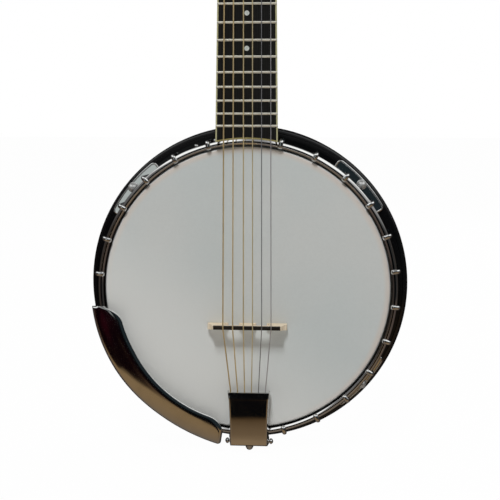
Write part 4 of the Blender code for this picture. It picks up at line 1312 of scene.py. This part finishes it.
# ---------------------------------------------------------------- neck and headstock
# Back of the neck: (z, y)
NECK_BACK = ((-14, 56.0), (6, 56.0), (12, 53.5), (19, 45.5), (27, 34.5), (37, 26.5), (52, 22.6),
             (80, 21.2), (160, 20.6), (320, 19.2), (440, 18.2), (486, 17.8), (500, 18.6))
NECK_STATIONS = (-14, -6, 0, 3, 6, 9, 12, 15, 17.5, 20, 22.5, 25, 27.5, 30, 33, 37, 41, 46, 52, 60,
                 72, 90, 120, 160, 200, 240, 280, 320, 360, 400, 430, 455, 470, 480, 488, 494, 499)
# Treble side of the headstock and of the truss rod cover: (x, z)
HEADSTOCK_SIDE = [(21.6, 0.0), (22.0, 9), (24.2, 19), (31.5, 28), (36.2, 38), (37.6, 60),
                  (38.4, 90), (39.6, 125), (40.6, 150), (39.8, 163), (35.0, 170.5), (27.0, 173.8),
                  (18.0, 172.6), (9.0, 171.6)]
COVER_SIDE = [(9.2, 6.6), (8.7, 12), (7.2, 19), (4.8, 26.5), (2.0, 33.2)]


def smooth_table(table, x):
    """Monotone cubic through (x, y) pairs, for an x inside the table."""
    if x <= table[0][0]:
        return table[0][1]
    slopes = [(b[1] - a[1]) / (b[0] - a[0]) for a, b in zip(table, table[1:])]
    tangents = [slopes[0]]
    for a, b in zip(slopes, slopes[1:]):
        tangents.append(0.0 if a * b <= 0 else 2 * a * b / (a + b))
    tangents.append(slopes[-1])
    i = next(k for k in range(len(slopes)) if x <= table[k + 1][0])
    (x0, y0), (x1, y1) = table[i], table[i + 1]
    h = x1 - x0
    s = (x - x0) / h
    return ((1 + 2 * s) * (1 - s) ** 2 * y0 + s * (1 - s) ** 2 * h * tangents[i]
            + s * s * (3 - 2 * s) * y1 + s * s * (s - 1) * h * tangents[i + 1])


def neck_ring(z):
    half = board_half(min(z, NUT_Z)) - 0.1
    back = smooth_table(NECK_BACK, z)
    square = 1.12 - 0.26 * min(1.0, max(0.0, (z - 10) / 50.0))
    ring = []
    for k in range(33):
        f = math.pi * k / 32
        c, s = math.cos(f), max(0.0, math.sin(f))
        ring.append((-half * math.copysign(abs(c) ** square, c),
                     NECK_TOP + (back - NECK_TOP) * s ** 0.9, z))
    return ring


def neck():
    shaft = loft("neck_shaft", [neck_ring(z) for z in NECK_STATIONS], NECKWOOD, NECK, body=None)
    side = fillet(HEADSTOCK_SIDE, [0] + [9] * 12 + [0], 3, closed=False)
    outline = side + [(0, 175.6)] + mirrored(side)
    slab = prism("headstock_block", outline, 1.0, HEADSTOCK_T, NECKWOOD, PEG, smooth=25, body=None)
    carve(shaft, [slab], "UNION")
    # the heel is cut to the hoop and the rim, then bored for both rods
    clear = [[(118, -30), (143.2, -30), (143.2, 14.5), (118, 14.5)],
             [(118, 12), (135.4, 12), (135.4, 60), (118, 60)]]
    cuts = [lathe("cut", profile, NECKWOOD, body=None) for profile in clear]
    cuts.append(drill(ROD_HOLE_R, 120, 152, place(0, HEAD_Y + ROD_DEPTH, 0), "Z"))
    cuts.append(post_holes(HEADSTOCK_T + 3))
    cuts.append(block((-3.0, 4.0, 6), (3.0, 12.0, 480), NECK))
    carve(shaft, cuts)
    dress(shaft, ROOT, "neck")
    face = prism("headstock_face", outline, 0.0, 0.98, VENEER, PEG, smooth=25,
                 slot="black_cover", cuts=[post_holes(4)])
    bevel(face, 0.25, angle=40)
    ring = fillet([(3.55, -0.9), (5.6, -0.9), (6.2, -0.1), (3.55, -0.1)], [0.1, 0.5, 0.05, 0.0], 4)
    for side, letter in ((1, "t"), (-1, "b")):
        for k, z in enumerate(POST_Z):
            lathe(f"bushing_{letter}_{k + 1}", ring, CHROME, 48, front=0.0,
                  matrix=PEG @ place(side * POST_X, 0, z), slot="chrome")


def truss_cover():
    side = fillet(COVER_SIDE, [0, 8, 8, 8, 0], 3, closed=False)
    plate = prism("truss_cover_plate", fillet(side + mirrored(side), 1.2, 3), -1.9, -0.12, COVER,
                  PEG, smooth=25, slot="black_cover", replaces="truss_rod_cover")
    bevel(plate, 0.45, segments=3)
    for i, (x, z) in enumerate(((-6.0, 10.0), (6.0, 10.0), (0.0, 29.0))):
        rod(f"truss_cover_screw_{i + 1}",
            [(-2.45, 0.5), (-2.4, 1.0), (-2.15, 1.5), (-1.9, 1.65), (-0.5, 1.65)], CHROME,
            seg=24, matrix=PEG @ place(x, 0, z), slot="chrome")


# ---------------------------------------------------------------- tuners
def tuner_plate(side, word):
    x, back = side * POST_X, HEADSTOCK_T
    outline = fillet([(x - 7.5, 27), (x + 7.5, 27), (x + 7.5, 139), (x - 7.5, 139)], 6.5, 8)
    holes = [drill(3.3, back - 1, back + 3, PEG @ place(x, 0, z), seg=28) for z in POST_Z]
    strip = prism("tuner_strip_" + word, outline, back + 0.3, back + 1.7, CHROME, PEG, smooth=25,
                  slot="chrome", replaces="tuner_plate_" + word, cuts=[joined("cut", holes)])
    bevel(strip, 0.35, angle=40)
    for j, z in enumerate(POST_Z):
        ear = fillet([(back + 1.6, z - 13.2), (back + 7.8, z - 11.6), (back + 7.8, z - 6.4),
                      (back + 1.6, z - 4.8)], [0, 3.0, 3.0, 0])
        for shift, letter in ((-7.5, "a"), (5.7, "b")):
            hole = drill(2.0, -12, 12, PEG @ place(x, WORM_BACK, z - WORM_DROP), "X", seg=20)
            side_plate(f"tuner_ear_{word}_{j + 1}{letter}", ear, (x + shift, x + shift + 1.8),
                       PEG, cuts=[hole])
    head_stations = [(back + 1.5, 1.9), (back + 1.9, 1.85), (back + 2.4, 1.3), (back + 2.6, 0.6)]
    for j, (z, off) in enumerate(((31.0, 0), (65.0, 4.6), (105.0, 4.6), (135.0, 0))):
        rod(f"tuner_plate_screw_{word}_{j + 1}", head_stations, CHROME, seg=24,
            matrix=PEG @ place(x + off * side, 0, z), slot="chrome")


def tuner_post(n, at):
    body, back = f"post_{n}", HEADSTOCK_T
    stations = [(-13.2, 2.2), (-13.0, 3.1), (-12.5, 3.6), (-8.9, 3.6), (-8.4, 3.3), (-8.0, 2.65),
                (-4.0, 2.65), (-3.6, 3.2), (-3.3, 3.45), (back + 0.1, 3.45), (back + 0.12, 2.8),
                (back + 2.3, 2.8), (back + 2.3, 2.2), (back + 7.0, 2.2), (back + 7.3, 1.9)]
    rod(body + "_shaft", stations, STEEL, seg=36, matrix=at, smooth=40, body=body,
        slot="plain_steel", replaces=f"tuner_post_{n}",
        cuts=[drill(0.9, -6, 6, at @ place(0, -10.6, 0), "X", seg=16)], cut_smooth=40)
    # one gear tooth: (fraction of its pitch, radius)
    tooth = ((0.0, 4.7), (0.22, 4.9), (0.36, 5.9), (0.64, 5.9), (0.78, 4.9))
    teeth = 14
    polar = [(2 * math.pi * (k + f) / teeth, r) for k in range(teeth) for f, r in tooth]
    gear = loft(body + "_gear", [[(r * math.cos(a), y, r * math.sin(a)) for a, r in polar]
                                 for y in (back + 2.5, back + 6.4)], FRETWIRE, at, smooth=25,
                body=body, slot="bronze_wound")
    bevel(gear, 0.15, segments=1, angle=40)
    rod(body + "_gear_screw",
        [(back + 6.5, 2.6), (back + 6.9, 2.6), (back + 7.3, 2.1), (back + 7.5, 1.0)], CHROME,
        seg=28, matrix=at, body=body, slot="chrome")


def tuner_button(n, at):
    """Worm shaft with a helical thread between the ears, and the button outboard of it."""
    body = f"button_{n}"
    rod(f"worm_{n}_core", [(-8.6, 1.2), (-8.4, 1.7), (-5.4, 1.7), (-5.2, 1.9), (5.2, 1.9),
                           (5.4, 1.7), (20.5, 1.7)], STEEL, axis="X", seg=24, matrix=at,
        body=body, slot="plain_steel")
    helix = []
    for k in range(121):
        f = k / 120
        a = 2 * math.pi * 5 * f
        helix.append(through(at, -4.7 + 9.4 * f, 2.0 * math.cos(a), 2.0 * math.sin(a)))
    loft(f"worm_{n}_thread", sweep(helix, [0.12] + [0.42] * 119 + [0.12], 8), STEEL, smooth=60,
         body=body, slot="plain_steel")
    stations = []
    for k in range(25):
        f = k / 24
        grip = max(0.0, math.sin(math.pi * min(1.0, max(0.0, (f - 0.08) / 0.92)) ** 0.72))
        end = math.sqrt(max(0.02, 1 - max(0.0, (f - 0.9) / 0.1) ** 2))
        stations.append((20.3 + 15.1 * f, (2.3 + 6.1 * grip ** 0.72) * end,
                         (2.2 + 1.5 * grip ** 0.8) * end))
    rod(body + "_grip", stations, BUTTON, axis="X", seg=40, matrix=at, body=body,
        slot="tuner_button", replaces=f"tuner_button_{n}")
    rod(body + "_collar", [(18.6, 1.72), (18.7, 2.7), (19.1, 2.9), (20.0, 2.9), (20.4, 2.5)],
        CHROME, axis="X", seg=28, matrix=at, body=body, slot="chrome")


def tuners():
    tuner_plate(-1, "bass")
    tuner_plate(1, "treble")
    for n in range(1, 7):
        side, z = tuner_place(n)
        tuner_post(n, PEG @ place(side * POST_X, 0, z))
        tuner_button(n, PEG @ place(side * POST_X, WORM_BACK, z - WORM_DROP)
                     @ turn(0 if side > 0 else 180))


def cad_rods():
    """The CAD frame's own rods inside the pot and the neck."""
    for node in ("coordinator_rod", "truss_rod"):
        obj = frame["nodes"][node]
        obj.data.materials.clear()
        obj.data.materials.append(STEEL)


# ---------------------------------------------------------------- stage
def floor():
    """Pale floor that the camera sees almost wholly as white."""
    bm = bmesh.new()
    bmesh.ops.create_grid(bm, x_segments=8, y_segments=8, size=40.0)
    obj = object_of("floor", bm)
    obj.location.z = CAD_BOX[0][2] - 0.0008
    mat = new_shader("pale_floor")
    speck = mat.noise(40.0)
    mat.surface(color=mat.mix(speck, (0.86, 0.86, 0.855), (0.90, 0.90, 0.895)), rough=0.8,
                spec=0.1)
    glow = mat.add_node("ShaderNodeEmission", {"Color": (1, 1, 1), "Strength": 1.0})
    seen = mat.add_node("ShaderNodeLightPath", {}, "Is Camera Ray")
    matt = mat.tree.nodes["Principled BSDF"].outputs[0]
    both = mat.add_node("ShaderNodeMixShader", {0: mat.mul(seen, 0.985)})
    mat.put(both.node.inputs[1], matt)
    mat.put(both.node.inputs[2], glow)
    output = next(node for node in mat.tree.nodes if node.type == "OUTPUT_MATERIAL")
    mat.put(output.inputs["Surface"], both)
    obj.data.materials.append(mat.owner)
    obj.visible_glossy = False


def surroundings():
    """White to the camera, soft light to matt surfaces, and to polished ones a room with a
    lamp band above, a dark front and a warm floor. x, y, z are the ray's direction."""
    world = bpy.data.worlds.new("studio")
    SCENE.world = world
    env = Shader(world)
    env.coords = env.add_node("ShaderNodeTexCoord", {}, "Generated")
    x, y, z = env.axis("X").node.outputs
    wobble = env.mul(env.sub(env.noise(9.0, rough=0.55), 0.5),
                     env.fade(x, -0.16, -0.22, out=(0.08, 0.30)))
    uneven_z = env.add(z, wobble)
    wide = env.math("ABSOLUTE", x)
    # dark front: reddish patches at -X, bluish at +X
    left = env.fade(x, -0.10, -0.16)
    right = env.fade(x, -0.02, 0.03)
    red = env.mix(env.fade(env.noise(6.0, detail=2.0), 0.48, 0.66), (0.004, 0.001, 0.002),
                  (0.021, 0.002, 0.005))
    front = env.mix(left, (0.003, 0.003, 0.0035), red)
    front = env.mix(right, front, (0.017, 0.025, 0.029))
    # pale card at -X
    card = env.mul(env.band(x, (-0.34, -0.28), (-0.10, -0.15)),
                   env.band(z, (-0.16, -0.11), (0.22, 0.14)))
    color = env.mix(card, front, (0.56, 0.61, 0.60))
    # both sides, the haze above and the back
    color = env.mix(env.fade(wide, 0.62, 0.90), color, (0.050, 0.040, 0.034))
    haze = env.mix(env.fade(x, 0.36, 0.58), (0.185, 0.185, 0.19), (0.50, 0.50, 0.50))
    color = env.mix(env.fade(z, 0.13, 0.42), color, haze)
    back = env.fade(y, 0.0, 0.35)
    color = env.mix(back, color, (0.045, 0.044, 0.042))
    # warm floor, its edge stepped along x
    dip_rise, dip_fall = (-0.118, -0.092), (0.02, -0.02)
    edge = env.add(-0.338, env.mul(env.band(x, dip_rise, dip_fall), -0.142))
    edge = env.add(edge, env.mul(env.band(x, (-0.26, -0.14), (-0.092, -0.118)), 0.05))
    edge = env.add(edge, env.mul(env.fade(x, 0.02, 0.06), 0.10))
    down = env.fade(env.sub(uneven_z, edge), 0.035, -0.035)
    tail_zone = env.band(x, dip_rise, dip_fall)
    brown = env.mix(env.fade(z, -0.35, -0.85), (0.285, 0.190, 0.095), (0.185, 0.150, 0.118))
    tail_brown = env.mix(env.fade(z, -0.46, -0.72), (0.085, 0.050, 0.022), (0.29, 0.20, 0.115))
    brown = env.mix(tail_zone, brown, tail_brown)
    brown = env.mix(env.fade(wide, 0.52, 0.72), brown, (0.095, 0.072, 0.062))
    color = env.mix(down, color, brown)
    color = env.mix(env.mul(back, env.fade(z, 0.10, -0.05)), color, (0.015, 0.014, 0.012))
    # lamp band above the front, dimmed in the middle
    reach = env.add(z, env.mul(env.fade(x, 0.05, 0.25), 0.05))
    glow = env.mul(env.fade(reach, 0.50, 0.58), env.fade(z, 0.90, 0.84))
    glow = env.mul(glow, env.fade(y, 0.30, 0.12))
    gap = env.sub(1.0, env.mul(env.fade(wide, 0.13, 0.05), 0.85))
    color = env.mix(env.mul(glow, gap), color, (1.30, 1.32, 1.32))
    rays = env.add_node("ShaderNodeLightPath", {}).node.outputs
    matt = env.mix(rays["Is Glossy Ray"], (0.143, 0.125, 0.099), color)
    background = env.tree.nodes["Background"]
    env.put(background.inputs["Color"], env.mix(rays["Is Camera Ray"], matt, (1.0, 1.0, 1.0)))
    background.inputs["Strength"].default_value = 1.0
    world.cycles.sampling_method = "NONE"


def hide_from_reflections():
    for obj in bpy.data.objects:
        if (obj.name in ("binding_end", "fretboard_body", "neck_shaft")
                or obj.name.startswith(("clamp_hook", "hook_", "thumbscrew_"))):
            obj.visible_glossy = False


def lamp(name, towards, distance, size, power, colour, target=(0.0, -0.1, 0.0)):
    """A disk lamp at a distance from its target, shining at it and hidden in reflections."""
    data = bpy.data.lights.new(name, "AREA")
    data.shape = "DISK"
    data.size = size
    data.energy = power
    data.color = colour
    obj = bpy.data.objects.new(name, data)
    SCENE.collection.objects.link(obj)
    aim = Vector(target)
    obj.location = aim + Vector(towards).normalized() * distance
    obj.rotation_euler = (aim - obj.location).to_track_quat("-Z", "Y").to_euler()
    obj.visible_glossy = False


def add_camera(place_at, forward, roll_degrees, lens):
    data = bpy.data.cameras.new("camera")
    data.sensor_width = 36.0
    data.lens = lens
    data.clip_start = 0.02
    data.clip_end = 200.0
    camera = bpy.data.objects.new("camera", data)
    SCENE.collection.objects.link(camera)
    forward = Vector(forward).normalized()
    level = forward.cross(Vector((0, 0, 1))).normalized()
    upright = level.cross(forward)
    roll = math.radians(roll_degrees)
    right = level * math.cos(roll) + upright * math.sin(roll)
    up = upright * math.cos(roll) - level * math.sin(roll)
    rows = [(right[i], up[i], -forward[i], place_at[i]) for i in range(3)]
    camera.matrix_world = Matrix((*rows, (0, 0, 0, 1)))
    SCENE.camera = camera


# ---------------------------------------------------------------- build
for make in (rim, flange, head, hoops, resonator, hooks, rivets, flange_plates, armrest,
             armrest_clips, tail_cover, tail_knob, tail_base, bridge, strings, board, frets, dots,
             string_nut, neck, truss_cover, tuners, cad_rods, floor, surroundings,
             hide_from_reflections):
    make()

lamp("key", towards=(-0.07, -0.60, 0.80), distance=2.6, size=0.30, power=20.2,
     colour=(0.96, 1.0, 1.02))
lamp("fill", towards=(-0.10, -0.505, 0.86), distance=2.6, size=0.34, power=15.2,
     colour=(0.97, 1.0, 1.01))
lamp("back_fill", towards=(0.5, 0.9, 0.7), distance=2.4, size=1.2, power=24.0,
     colour=(0.97, 0.985, 1.0), target=(0, 0, 0.2))
add_camera(place_at=(0.04899, -0.91103, 0.15014), forward=(-0.055855, 0.989193, -0.135563),
           roll_degrees=0.11, lens=62.91)
SCENE.view_settings.view_transform = "Standard"
SCENE.view_settings.look = "None"

bpy.context.view_layer.update()
